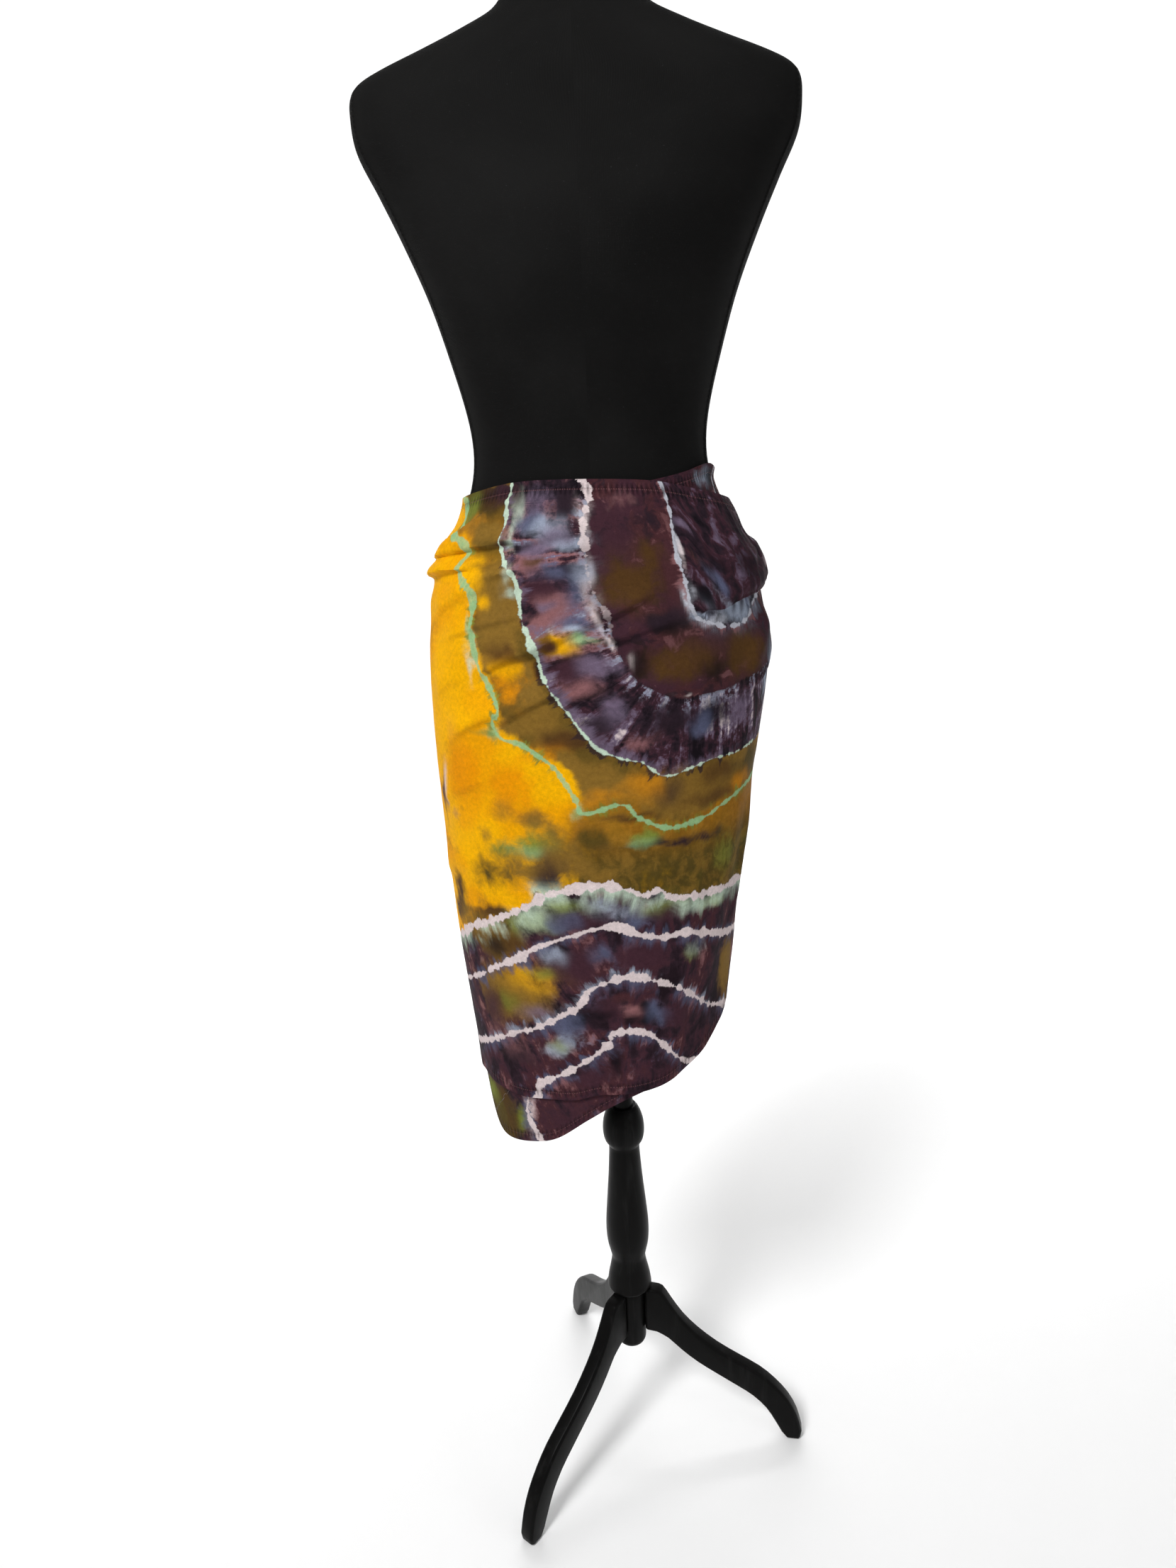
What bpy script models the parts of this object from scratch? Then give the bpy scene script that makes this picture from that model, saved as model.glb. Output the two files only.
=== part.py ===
"""A half sarong, wrapped and tucked on a limbless dress form that stands on a turned tripod.

Metres, +Z up. The camera side of the form faces -Y, and +X is to its right in that view.
Angles round the form are in degrees from the front (-Y) towards the right (+X).
The cloth is one rectangle wound one and a half times round the form. Each stretch of it that
shows is its own wall, and every wall stands on the same base surface, moved outwards.
"""

from collections import namedtuple
from math import ceil, copysign, cos, exp, hypot, pi, radians, sin

import bmesh
import bpy
from mathutils import Vector

# Driving dimensions
CLOTH_WALL = 0.0012
LAYER_GAP = 0.0009
SEAM_GAP = 0.0003
SEAT_GAP = 0.0003

# The form stands a little to the left of its pole
FORM_OFFSET_X = -0.0055
FORM_BOTTOM = 0.880
NECK_TOP = 1.600
FORM_SEGMENTS = 40
FORM_RING_STEP = 0.032

POLE_RADIUS = 0.012
POLE_IN_FORM = 0.080
POLE_IN_POST = 0.040
SOCKET_CLEARANCE = 0.0005
TURNED_SEGMENTS = 28
DRUM_RADIUS = 0.018

LEG_THICKNESS = 0.018
LEG_EDGE_BEVEL = 0.0025
LEG_BEVEL_ANGLE = 60
LEG_ANGLES = {"leg_right": 81.5, "leg_back": 201.5, "leg_front": 321.5}

# Where one stretch of the cloth passes into the next, and where its two ends lie
INNER_END_ANGLE = -76.0
RIGHT_SEAM_ANGLE = 92.0
LEFT_SEAM_ANGLE = 270.0
OUTER_END_ANGLE = 104.0

# The outer stretch climbs on to the inner one between these two angles
CLIMB_START = -90.0
CLIMB_END = -78.0

# One degree round the hips is about this far along the cloth
ARC_PER_DEGREE = 0.0028

# The widest step between two columns of each stretch, in degrees
INNER_STEP = 6.0
BACK_STEP = 5.6
OUTER_STEP = 5.0

# Faces that meet at less than this angle are shaded as one curve
SHADING_ANGLE = 40

Section = namedtuple("Section", "height half_width front back squareness")
FORM_SECTIONS = [
    Section(0.880, 0.1515, 0.098, 0.112, 2.10),
    Section(0.920, 0.1585, 0.102, 0.120, 2.10),
    Section(0.980, 0.1670, 0.105, 0.127, 2.10),
    Section(1.030, 0.1640, 0.106, 0.124, 2.10),
    Section(1.080, 0.1530, 0.105, 0.113, 2.10),
    Section(1.130, 0.1300, 0.099, 0.095, 2.10),
    Section(1.160, 0.1175, 0.093, 0.087, 2.10),
    Section(1.190, 0.1125, 0.090, 0.083, 2.10),
    Section(1.225, 0.1155, 0.093, 0.084, 2.05),
    Section(1.280, 0.1290, 0.104, 0.089, 2.00),
    Section(1.330, 0.1440, 0.113, 0.094, 1.95),
    Section(1.380, 0.1640, 0.113, 0.097, 1.95),
    Section(1.420, 0.1820, 0.101, 0.096, 2.00),
    Section(1.455, 0.1980, 0.087, 0.090, 2.15),
    Section(1.485, 0.2010, 0.074, 0.082, 2.30),
    Section(1.500, 0.1980, 0.067, 0.078, 2.30),
    Section(1.508, 0.1890, 0.063, 0.075, 2.25),
    Section(1.516, 0.1720, 0.060, 0.072, 2.20),
    Section(1.528, 0.1410, 0.056, 0.068, 2.10),
    Section(1.542, 0.1050, 0.052, 0.064, 2.05),
    Section(1.556, 0.0740, 0.049, 0.061, 2.00),
    Section(1.572, 0.0600, 0.049, 0.058, 2.00),
    Section(1.594, 0.0570, 0.051, 0.056, 2.00),
    Section(1.600, 0.0520, 0.046, 0.051, 2.00),
]

# The inner face of the innermost cloth, measured from the form's middle, which hangs free below it
Drape = namedtuple("Drape", "height left right front back")
CLOTH_SQUARENESS = 2.1
CLOTH_SECTIONS = [
    Drape(0.460, 0.1425, 0.1105, 0.106, 0.100),
    Drape(0.530, 0.1465, 0.1145, 0.108, 0.103),
    Drape(0.600, 0.1530, 0.1200, 0.110, 0.107),
    Drape(0.680, 0.1605, 0.1295, 0.112, 0.112),
    Drape(0.760, 0.1655, 0.1390, 0.113, 0.118),
    Drape(0.840, 0.1690, 0.1485, 0.112, 0.123),
    Drape(0.900, 0.1705, 0.1585, 0.110, 0.127),
    Drape(0.980, 0.1700, 0.1690, 0.107, 0.129),
    Drape(1.030, 0.1655, 0.1655, 0.107, 0.125),
    Drape(1.080, 0.1542, 0.1542, 0.106, 0.114),
    Drape(1.130, 0.1310, 0.1310, 0.100, 0.096),
    Drape(1.160, 0.1185, 0.1185, 0.094, 0.088),
    Drape(1.190, 0.1135, 0.1135, 0.091, 0.084),
]

# Edges of the cloth: the height of each hem and top edge at an angle round the form
Edge = namedtuple("Edge", "angle height")
INNER_HEM = [
    Edge(-76, 0.535),
    Edge(-70, 0.503),
    Edge(-63, 0.480),
    Edge(-55, 0.473),
    Edge(-40, 0.478),
    Edge(-26, 0.489),
    Edge(-10, 0.519),
    Edge(2, 0.540),
    Edge(20, 0.557),
    Edge(36, 0.573),
    Edge(53, 0.594),
    Edge(68, 0.614),
    Edge(80, 0.616),
    Edge(92, 0.608),
]
INNER_TOP = [
    Edge(-76, 1.090),
    Edge(-48, 1.096),
    Edge(-26, 1.112),
    Edge(-8, 1.145),
    Edge(10, 1.158),
    Edge(28, 1.163),
    Edge(48, 1.169),
    Edge(66, 1.175),
    Edge(78, 1.172),
    Edge(92, 1.166),
]
BACK_HEM = [
    Edge(92, 0.608),
    Edge(110, 0.588),
    Edge(135, 0.564),
    Edge(170, 0.549),
    Edge(220, 0.540),
    Edge(270, 0.537),
]
BACK_TOP = [
    Edge(92, 1.166),
    Edge(125, 1.168),
    Edge(180, 1.174),
    Edge(235, 1.162),
    Edge(270, 1.150),
]
OUTER_HEM = [
    Edge(-90, 0.537),
    Edge(-66, 0.543),
    Edge(-42, 0.539),
    Edge(-17, 0.542),
    Edge(-5, 0.551),
    Edge(20, 0.556),
    Edge(35, 0.566),
    Edge(53, 0.586),
    Edge(68, 0.611),
    Edge(80, 0.645),
    Edge(90, 0.690),
    Edge(98, 0.750),
    Edge(104, 0.840),
]
OUTER_TOP = [
    Edge(-90, 1.150),
    Edge(-66, 1.157),
    Edge(-39, 1.165),
    Edge(-20, 1.167),
    Edge(10, 1.165),
    Edge(30, 1.161),
    Edge(51, 1.152),
    Edge(70, 1.145),
    Edge(104, 1.136),
]

# The inner stretch's corner stands a little out from the waist above the outer stretch
CORNER_FLARE = 0.004
CORNER_BASE = 1.160
CORNER_TIP = 1.175
CORNER_START_ANGLE = 50
CORNER_FULL_ANGLE = 70
CORNER_END_ANGLE = 110

# The outer stretch stands out in the same way where it is tucked in at the right
TUCK_FLARE = 0.005
TUCK_BASE = 1.100
TUCK_TIP = 1.135
TUCK_START_ANGLE = 40
TUCK_FULL_ANGLE = 66

# Soft rolls of cloth: each runs from one point to another and stands out by its rise. It fades
# away past its two ends over these shares of its length, outside them and inside them.
ROLL_FADE_PAST = 0.10
ROLL_FADE_WITHIN = 0.25
# The front's rolls carry on into the back over this angle
ROLL_CARRY = 24
Roll = namedtuple("Roll", "angle height to_angle to_height half_width rise")
FRONT_ROLLS = [
    Roll(-104, 1.108, -50, 1.120, 0.010, 0.0080),
    Roll(-104, 1.082, -58, 1.094, 0.010, 0.0100),
    Roll(-104, 1.050, -60, 1.066, 0.012, 0.0045),
    Roll(-50, 1.112, -18, 1.125, 0.010, 0.0030),
    Roll(-62, 1.068, -22, 1.090, 0.013, 0.0035),
    Roll(-30, 1.078, 2, 1.098, 0.012, 0.0030),
    Roll(-58, 1.010, -14, 1.038, 0.018, 0.0028),
    Roll(-60, 0.935, -24, 0.972, 0.016, 0.0025),
    Roll(-34, 0.945, 4, 0.985, 0.016, 0.0025),
    Roll(10, 0.970, 48, 1.010, 0.018, 0.0022),
    Roll(56, 0.985, 78, 1.035, 0.014, 0.0050),
    Roll(-20, 0.640, -12, 0.820, 0.030, 0.0020),
    Roll(44, 0.650, 62, 0.860, 0.026, 0.0030),
]
BACK_ROLLS = [
    Roll(112, 1.105, 150, 1.060, 0.014, 0.0050),
    Roll(112, 1.085, 172, 0.990, 0.016, 0.0045),
    Roll(118, 1.045, 178, 0.900, 0.020, 0.0035),
    Roll(262, 1.094, 226, 1.072, 0.012, 0.0060),
    Roll(262, 1.068, 206, 1.020, 0.015, 0.0050),
    Roll(248, 0.960, 200, 0.900, 0.020, 0.0030),
    Roll(146, 0.580, 150, 0.800, 0.026, 0.0050),
    Roll(186, 0.570, 190, 0.820, 0.028, 0.0055),
    Roll(226, 0.570, 224, 0.780, 0.026, 0.0045),
]

# The cloth's top right corner is pulled up into the waist, and it pouches over the hip.
# lip is the height of the pouch's lower fold, and fullness how far it stands out.
Pouch = namedtuple("Pouch", "angle top lip fullness")
HIP_POUCH = [
    Pouch(32, 1.110, 1.042, 0.0025),
    Pouch(42, 1.128, 1.044, 0.0060),
    Pouch(54, 1.140, 1.051, 0.0095),
    Pouch(66, 1.140, 1.056, 0.0120),
    Pouch(78, 1.137, 1.060, 0.0140),
    Pouch(90, 1.134, 1.064, 0.0130),
    Pouch(100, 1.130, 1.072, 0.0090),
]
# Down the pouch's section, as shares of its own size: how far down and out a point lies where
# the pouch is full and its lip turns back under, and where it is flat and its lip runs out
PouchPoint = namedtuple("PouchPoint", "full_down full_out flat_down flat_out")
POUCH_SECTION = [
    PouchPoint(0.00, 0.00, 0.00, 0.00),
    PouchPoint(0.09, 0.20, 0.12, 0.16),
    PouchPoint(0.19, 0.36, 0.25, 0.36),
    PouchPoint(0.31, 0.44, 0.38, 0.58),
    PouchPoint(0.44, 0.68, 0.50, 0.80),
    PouchPoint(0.57, 0.92, 0.62, 0.95),
    PouchPoint(0.70, 1.00, 0.73, 1.00),
    PouchPoint(0.83, 0.94, 0.83, 0.92),
    PouchPoint(0.94, 0.74, 0.91, 0.72),
    PouchPoint(1.00, 0.44, 0.96, 0.44),
    PouchPoint(0.96, 0.16, 1.00, 0.10),
]
POUCH_FLAT_UNDER = 0.0050
POUCH_FULL_OVER = 0.0090
POUCH_SEAT = 0.0006
POUCH_PLEATS = 5
POUCH_PLEAT_RISE = 0.0022

# Rows of a stretch, as shares of the way from its hem to its top edge: the gathered stretches
# have close rows across their rolls
PLAIN_ROWS = [0.0, 0.03, 0.10, 0.19, 0.29, 0.39, 0.49, 0.58, 0.65]
PLAIN_ROWS += [0.71, 0.76, 0.80, 0.84, 0.88, 0.92, 0.95, 0.98, 1.0]
GATHERED_ROWS = [0.0, 0.03, 0.12, 0.23, 0.34, 0.44, 0.53, 0.60, 0.655, 0.70, 0.74, 0.78]
GATHERED_ROWS += [0.815 + 0.015 * row for row in range(12)] + [1.0]

# Slow waves in the hanging cloth, the same in every layer, so that the layers nest
FLUTES = 5
FLUTE_TURN = 20
FLUTE_DEPTH = 0.0030
FLUTE_TOP = 0.880
FLUTE_BOTTOM = 0.540

# The turned post, from the underside of its drum to the rim of its knob
Turning = namedtuple("Turning", "height radius")
POST_PROFILE = [
    Turning(0.1270, 0.0100),
    Turning(0.1290, 0.0145),
    Turning(0.1325, 0.0171),
    Turning(0.1375, DRUM_RADIUS),
    Turning(0.2115, DRUM_RADIUS),
    Turning(0.2125, 0.0250),
    Turning(0.2140, 0.0264),
    Turning(0.2180, 0.0264),
    Turning(0.2300, 0.0247),
    Turning(0.2420, 0.0221),
    Turning(0.2520, 0.0204),
    Turning(0.2570, 0.0203),
    Turning(0.2650, 0.0220),
    Turning(0.2760, 0.0243),
    Turning(0.2900, 0.0255),
    Turning(0.3080, 0.0252),
    Turning(0.3350, 0.0231),
    Turning(0.3650, 0.0205),
    Turning(0.3950, 0.0185),
    Turning(0.4120, 0.0180),
    Turning(0.4150, 0.0195),
    Turning(0.4200, 0.0223),
    Turning(0.4280, 0.0240),
    Turning(0.4370, 0.0242),
    Turning(0.4460, 0.0231),
    Turning(0.4550, 0.0205),
    Turning(0.4610, 0.0177),
    Turning(0.4645, 0.0150),
]

# A leg's outline in its own plane: out from the post's axis, and up from the floor
LegPoint = namedtuple("LegPoint", "out up")
LEG_TOP_EDGE = [
    LegPoint(0.0300, 0.2095),
    LegPoint(0.0400, 0.2065),
    LegPoint(0.0500, 0.1900),
    LegPoint(0.0640, 0.1680),
    LegPoint(0.0820, 0.1480),
    LegPoint(0.1060, 0.1280),
    LegPoint(0.1330, 0.1110),
    LegPoint(0.1580, 0.0960),
    LegPoint(0.1770, 0.0790),
    LegPoint(0.1930, 0.0590),
    LegPoint(0.2040, 0.0360),
    LegPoint(0.2100, 0.0120),
]
LEG_SOLE = [LegPoint(0.2080, 0.0), LegPoint(0.1920, 0.0)]
LEG_BOTTOM_EDGE = [
    LegPoint(0.1850, 0.0090),
    LegPoint(0.1770, 0.0250),
    LegPoint(0.1660, 0.0440),
    LegPoint(0.1500, 0.0610),
    LegPoint(0.1300, 0.0750),
    LegPoint(0.1060, 0.0900),
    LegPoint(0.0820, 0.1060),
    LegPoint(0.0620, 0.1230),
    LegPoint(0.0460, 0.1390),
    LegPoint(0.0320, 0.1470),
]
LEG_ROOT_BOTTOM = 0.1490
LEG_ROOT_TOP = 0.2110
LEG_STEPS = 2


def between(rows, position):
    """Every column of a table at a position, on a smooth curve through its rows."""
    first, last = rows[0][0], rows[-1][0]
    position = min(max(position, first), last)
    index = 0
    while index < len(rows) - 2 and rows[index + 1][0] <= position:
        index += 1
    step = rows[index + 1][0] - rows[index][0]
    t = (position - rows[index][0]) / step

    def slope(row, column):
        low, high = max(row - 1, 0), min(row + 1, len(rows) - 1)
        return (rows[high][column] - rows[low][column]) / (rows[high][0] - rows[low][0])

    values = []
    for column in range(1, len(rows[0])):
        start, end = rows[index][column], rows[index + 1][column]
        out, into = slope(index, column) * step, slope(index + 1, column) * step
        values.append(
            (2 * t**3 - 3 * t**2 + 1) * start
            + (t**3 - 2 * t**2 + t) * out
            + (3 * t**2 - 2 * t**3) * end
            + (t**3 - t**2) * into
        )
    return values


def smooth(low, high, value):
    """0 at low, 1 at high, with a soft start and end."""
    t = min(max((value - low) / (high - low), 0.0), 1.0)
    return t * t * (3 - 2 * t)


def oval(angle, left, right, front, back, squareness, outwards=0.0):
    """A point of an uneven oval at an angle round it, moved outwards along its normal."""
    power = 2 / squareness
    side = copysign(abs(sin(radians(angle))) ** power, sin(radians(angle)))
    face = copysign(abs(cos(radians(angle))) ** power, cos(radians(angle)))
    width = right if side > 0 else left
    depth = front if face > 0 else back
    normal_x, normal_y = side / width, face / depth
    scale = outwards / hypot(normal_x, normal_y)
    return width * side + normal_x * scale, -(depth * face + normal_y * scale)


def new_object(name, mesh, material):
    """An object of a mesh, in the scene, with its material."""
    item = bpy.data.objects.new(name, mesh)
    bpy.context.scene.collection.objects.link(item)
    mesh.materials.append(material)
    return item


def new_material(name, colour, roughness, metallic=0.0):
    """A plain Principled material."""
    material = bpy.data.materials.new(name)
    material.use_nodes = True
    shader = material.node_tree.nodes["Principled BSDF"]
    shader.inputs["Base Color"].default_value = (*colour, 1.0)
    shader.inputs["Roughness"].default_value = roughness
    shader.inputs["Metallic"].default_value = metallic
    return material


def mesh_from(name, points, faces, round_edges=True):
    """A mesh with its faces pointing out."""
    shell = bmesh.new()
    corners = [shell.verts.new(point) for point in points]
    for face in faces:
        shell.faces.new([corners[index] for index in face])
    bmesh.ops.recalc_face_normals(shell, faces=shell.faces)
    mesh = bpy.data.meshes.new(name)
    shell.to_mesh(mesh)
    shell.free()
    if round_edges:
        mesh.shade_smooth()
        mesh.set_sharp_from_angle(angle=radians(SHADING_ANGLE))
    return mesh


def stacked_rings(name, rings, segments):
    """A closed body through rings of points, fanned shut at its first and last ring."""
    points = [point for ring in rings for point in ring]
    faces = []
    for ring in range(len(rings) - 1):
        for k in range(segments):
            here, after = ring * segments + k, ring * segments + (k + 1) % segments
            faces.append((here, after, after + segments, here + segments))
    for ring in (rings[0], rings[-1]):
        start = 0 if ring is rings[0] else (len(rings) - 1) * segments
        centre = sum((Vector(point) for point in ring), Vector()) / segments
        points.append(centre)
        for k in range(segments):
            faces.append((len(points) - 1, start + k, start + (k + 1) % segments))
    return mesh_from(name, points, faces)


def ring(radius, height, segments, centre_x=0.0):
    """A level ring of points."""
    turn = 2 * pi / segments
    return [
        (centre_x + radius * sin(k * turn), -radius * cos(k * turn), height)
        for k in range(segments)
    ]


def form_ring(height):
    """The form's own section at a height."""
    half_width, front, back, squareness = between(FORM_SECTIONS, height)
    points = []
    for k in range(FORM_SEGMENTS):
        angle = 360 * k / FORM_SEGMENTS
        x, y = oval(angle, half_width, half_width, front, back, squareness)
        points.append((FORM_OFFSET_X + x, y, height))
    return points


def make_form(material):
    """The torso, whole from its base to its neck, with a socket for the pole."""
    socket_top = FORM_BOTTOM + POLE_IN_FORM
    socket_radius = POLE_RADIUS + SOCKET_CLEARANCE
    rings = [
        ring(socket_radius, socket_top, FORM_SEGMENTS),
        ring(socket_radius, FORM_BOTTOM, FORM_SEGMENTS),
    ]
    for lower, upper in zip(FORM_SECTIONS, FORM_SECTIONS[1:]):
        rings.append(form_ring(lower.height))
        if upper.height - lower.height > FORM_RING_STEP:
            rings.append(form_ring((lower.height + upper.height) / 2))
    rings.append(form_ring(NECK_TOP))
    return new_object("dress_form", stacked_rings("dress_form", rings, FORM_SEGMENTS), material)


def make_post(material):
    """The turned post: drum, cup, column and knob, with a socket for the pole."""
    rim = POST_PROFILE[-1].height
    socket_radius = POLE_RADIUS + SOCKET_CLEARANCE
    rings = [ring(row.radius, row.height, TURNED_SEGMENTS) for row in POST_PROFILE]
    rings.append(ring(socket_radius, rim, TURNED_SEGMENTS))
    rings.append(ring(socket_radius, rim - POLE_IN_POST, TURNED_SEGMENTS))
    return new_object("turned_post", stacked_rings("turned_post", rings, TURNED_SEGMENTS), material)


def make_pole(material):
    """The round pole from the post's socket to the form's."""
    bottom = POST_PROFILE[-1].height - POLE_IN_POST + SEAT_GAP
    top = FORM_BOTTOM + POLE_IN_FORM - SEAT_GAP
    rings = [ring(POLE_RADIUS, height, TURNED_SEGMENTS) for height in (bottom, top)]
    return new_object("pole", stacked_rings("pole", rings, TURNED_SEGMENTS), material)


def curve_through(points, steps):
    """Points on a smooth curve through the given ones, with steps spans between each two."""
    rows = [(index, *point) for index, point in enumerate(points)]
    count = (len(points) - 1) * steps
    return [tuple(between(rows, index / steps)) for index in range(count + 1)]


def make_leg(name, angle, material):
    """One cabriole leg, cut from board, with its sole flat on the floor."""
    root = DRUM_RADIUS + SEAT_GAP
    outline = [(root, LEG_ROOT_TOP)]
    outline += curve_through(LEG_TOP_EDGE, LEG_STEPS)
    outline += [tuple(point) for point in LEG_SOLE]
    outline += curve_through(LEG_BOTTOM_EDGE, LEG_STEPS)
    outline += [(root, LEG_ROOT_BOTTOM)]
    count = len(outline)
    points = [
        (out, side * LEG_THICKNESS / 2, up) for side in (-1, 1) for out, up in outline
    ]
    faces = [tuple(range(count)), tuple(range(2 * count - 1, count - 1, -1))]
    for k in range(count):
        after = (k + 1) % count
        faces.append((k, k + count, after + count, after))
    leg = new_object(name, mesh_from(name, points, faces), material)
    # The outline is drawn towards +X, a quarter turn round from the front
    leg.rotation_euler.z = radians(angle - 90)
    bevel = leg.modifiers.new("eased edges", "BEVEL")
    bevel.width = LEG_EDGE_BEVEL
    bevel.segments = 1
    bevel.limit_method = "ANGLE"
    bevel.angle_limit = radians(LEG_BEVEL_ANGLE)
    return leg


def roll_height(rolls, angle, height):
    """How far the soft rolls stand out at a point of the cloth."""
    total = 0.0
    for roll in rolls:
        along_x = (roll.to_angle - roll.angle) * ARC_PER_DEGREE
        along_z = roll.to_height - roll.height
        length = hypot(along_x, along_z)
        x = (angle - roll.angle) * ARC_PER_DEGREE
        z = height - roll.height
        share = (x * along_x + z * along_z) / length**2
        across = (z * along_x - x * along_z) / length
        start = smooth(-ROLL_FADE_PAST, ROLL_FADE_WITHIN, share)
        end = smooth(1 + ROLL_FADE_PAST, 1 - ROLL_FADE_WITHIN, share)
        total += roll.rise * start * end * exp(-((across / roll.half_width) ** 2))
    return total


def flute(angle, height):
    """The slow waves of the hanging cloth, outwards only."""
    depth = FLUTE_DEPTH * smooth(FLUTE_TOP, FLUTE_BOTTOM, height)
    return depth * (1 + sin(radians(FLUTES * angle + FLUTE_TURN))) / 2


def cloth_point(angle, height, outwards):
    """A point of the base surface, moved outwards."""
    left, right, front, back = between(CLOTH_SECTIONS, height)
    outwards += flute(angle, height)
    x, y = oval(angle, left, right, front, back, CLOTH_SQUARENESS, outwards)
    return Vector((FORM_OFFSET_X + x, y, height))


def wall(name, columns, material):
    """A closed wall of cloth, from columns of (inner, outer) pairs of points."""
    rows = len(columns[0])
    points = [pair[side] for side in (0, 1) for column in columns for pair in column]
    half = len(columns) * rows
    faces = []

    def corner(column, row, side):
        return side * half + column * rows + row

    for column in range(len(columns) - 1):
        for row in range(rows - 1):
            for side in (0, 1):
                quad = [
                    corner(column, row, side),
                    corner(column + 1, row, side),
                    corner(column + 1, row + 1, side),
                    corner(column, row + 1, side),
                ]
                faces.append(quad if side else quad[::-1])
    for column in range(len(columns) - 1):
        for row in (0, rows - 1):
            near, far = corner(column, row, 0), corner(column + 1, row, 0)
            faces.append((near, far, far + half, near + half))
    for row in range(rows - 1):
        for column in (0, len(columns) - 1):
            near, far = corner(column, row, 0), corner(column, row + 1, 0)
            faces.append((near, far, far + half, near + half))
    return new_object(name, mesh_from(name, points, faces), material)


def even(start, end, step):
    """Angles from start to end, evenly, no further apart than the step."""
    count = ceil(abs(end - start) / step)
    return [start + (end - start) * k / count for k in range(count + 1)]


def layer_offset(angle):
    """How far the outer stretch lies from the base: on the inner one past its end."""
    return (CLOTH_WALL + LAYER_GAP) * smooth(CLIMB_START, CLIMB_END, angle)


def inner_lift(angle, height):
    """The inner stretch flares a little where its corner stands above the waist."""
    flare = CORNER_FLARE * smooth(CORNER_BASE, CORNER_TIP, height)
    return flare * smooth(CORNER_START_ANGLE, CORNER_FULL_ANGLE, angle)


def outer_lift(angle, height):
    """The outer stretch lies on the inner one, with its rolls, and flares at its tucked end."""
    flare = TUCK_FLARE * smooth(TUCK_BASE, TUCK_TIP, height)
    flare *= smooth(TUCK_START_ANGLE, TUCK_FULL_ANGLE, angle)
    return layer_offset(angle) + flare + roll_height(FRONT_ROLLS, angle, height)


def back_lift(angle, height):
    """The back lies on the form; at its right it carries on the inner stretch's flare."""
    flare = CORNER_FLARE * smooth(CORNER_BASE, CORNER_TIP, height)
    flare *= smooth(CORNER_END_ANGLE, RIGHT_SEAM_ANGLE, angle)
    near_seam = smooth(LEFT_SEAM_ANGLE - ROLL_CARRY, LEFT_SEAM_ANGLE, angle)
    carried = roll_height(FRONT_ROLLS, angle - 360, height) * near_seam
    return flare + carried + roll_height(BACK_ROLLS, angle, height)


def stretch(name, angles, hem, top, lift, rows, material):
    """One stretch of the sarong, as a wall between its hem and its top edge."""
    columns = []
    for angle in angles:
        (low,), (high,) = between(hem, angle), between(top, angle)
        column = []
        for share in rows:
            height = low + (high - low) * share
            out = lift(angle, height)
            pair = (
                cloth_point(angle, height, out),
                cloth_point(angle, height, out + CLOTH_WALL),
            )
            column.append(pair)
        columns.append(column)
    return wall(name, columns, material)


def make_pouch(outer_angles, material):
    """The fold that pouches over the right hip, a wall whose lower lip turns back under."""
    columns = []
    for angle in outer_angles:
        if not HIP_POUCH[0].angle <= angle <= HIP_POUCH[-1].angle:
            continue
        top, lip, fullness = between(HIP_POUCH, angle)
        full = smooth(POUCH_FLAT_UNDER, POUCH_FULL_OVER, fullness)
        spread = smooth(HIP_POUCH[0].angle, HIP_POUCH[-1].angle, angle)
        pleat = POUCH_PLEAT_RISE * spread * (1 + sin(spread * POUCH_PLEATS * 2 * pi)) / 2
        section = []
        for point in POUCH_SECTION:
            down = point.flat_down + (point.full_down - point.flat_down) * full
            out = point.flat_out + (point.full_out - point.flat_out) * full
            height = top + (lip - top) * down
            lift = outer_lift(angle, height) + 2 * CLOTH_WALL + POUCH_SEAT
            section.append(cloth_point(angle, height, lift + (fullness + pleat) * out))
        column = []
        for k, place in enumerate(section):
            before, after = section[max(k - 1, 0)], section[min(k + 1, len(section) - 1)]
            down = (after - before).normalized()
            round_form = Vector((cos(radians(angle)), sin(radians(angle)), 0))
            normal = down.cross(round_form).normalized()
            column.append((place, place - normal * CLOTH_WALL))
        columns.append(column)
    return wall("sarong_hip_fold", columns, material)


def seam_degrees():
    """Half of a seam's gap, as an angle round the form."""
    return SEAM_GAP / ARC_PER_DEGREE / 2


def make_sarong(material):
    """Every stretch of the wound cloth."""
    gap = seam_degrees()
    inner_angles = even(INNER_END_ANGLE, RIGHT_SEAM_ANGLE - gap, INNER_STEP)
    back_angles = even(RIGHT_SEAM_ANGLE + gap, LEFT_SEAM_ANGLE - gap, BACK_STEP)
    outer_angles = even(LEFT_SEAM_ANGLE - 360 + gap, OUTER_END_ANGLE, OUTER_STEP)
    return [
        stretch(
            "sarong_inner_front", inner_angles, INNER_HEM, INNER_TOP, inner_lift,
            PLAIN_ROWS, material,
        ),
        stretch(
            "sarong_back", back_angles, BACK_HEM, BACK_TOP, back_lift,
            GATHERED_ROWS, material,
        ),
        stretch(
            "sarong_outer_front", outer_angles, OUTER_HEM, OUTER_TOP, outer_lift,
            GATHERED_ROWS, material,
        ),
        make_pouch(outer_angles, material),
    ]


def stand_on_origin(items):
    """Move everything so that the middle of the whole part's underside is the origin."""
    bpy.context.view_layer.update()
    graph = bpy.context.evaluated_depsgraph_get()
    corners = []
    for item in items:
        shown = item.evaluated_get(graph)
        corners += [shown.matrix_world @ vertex.co for vertex in shown.data.vertices]
    low = [min(point[axis] for point in corners) for axis in range(3)]
    high = [max(point[axis] for point in corners) for axis in range(3)]
    shift = Vector(((low[0] + high[0]) / 2, (low[1] + high[1]) / 2, low[2]))
    for item in items:
        item.location -= shift


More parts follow.
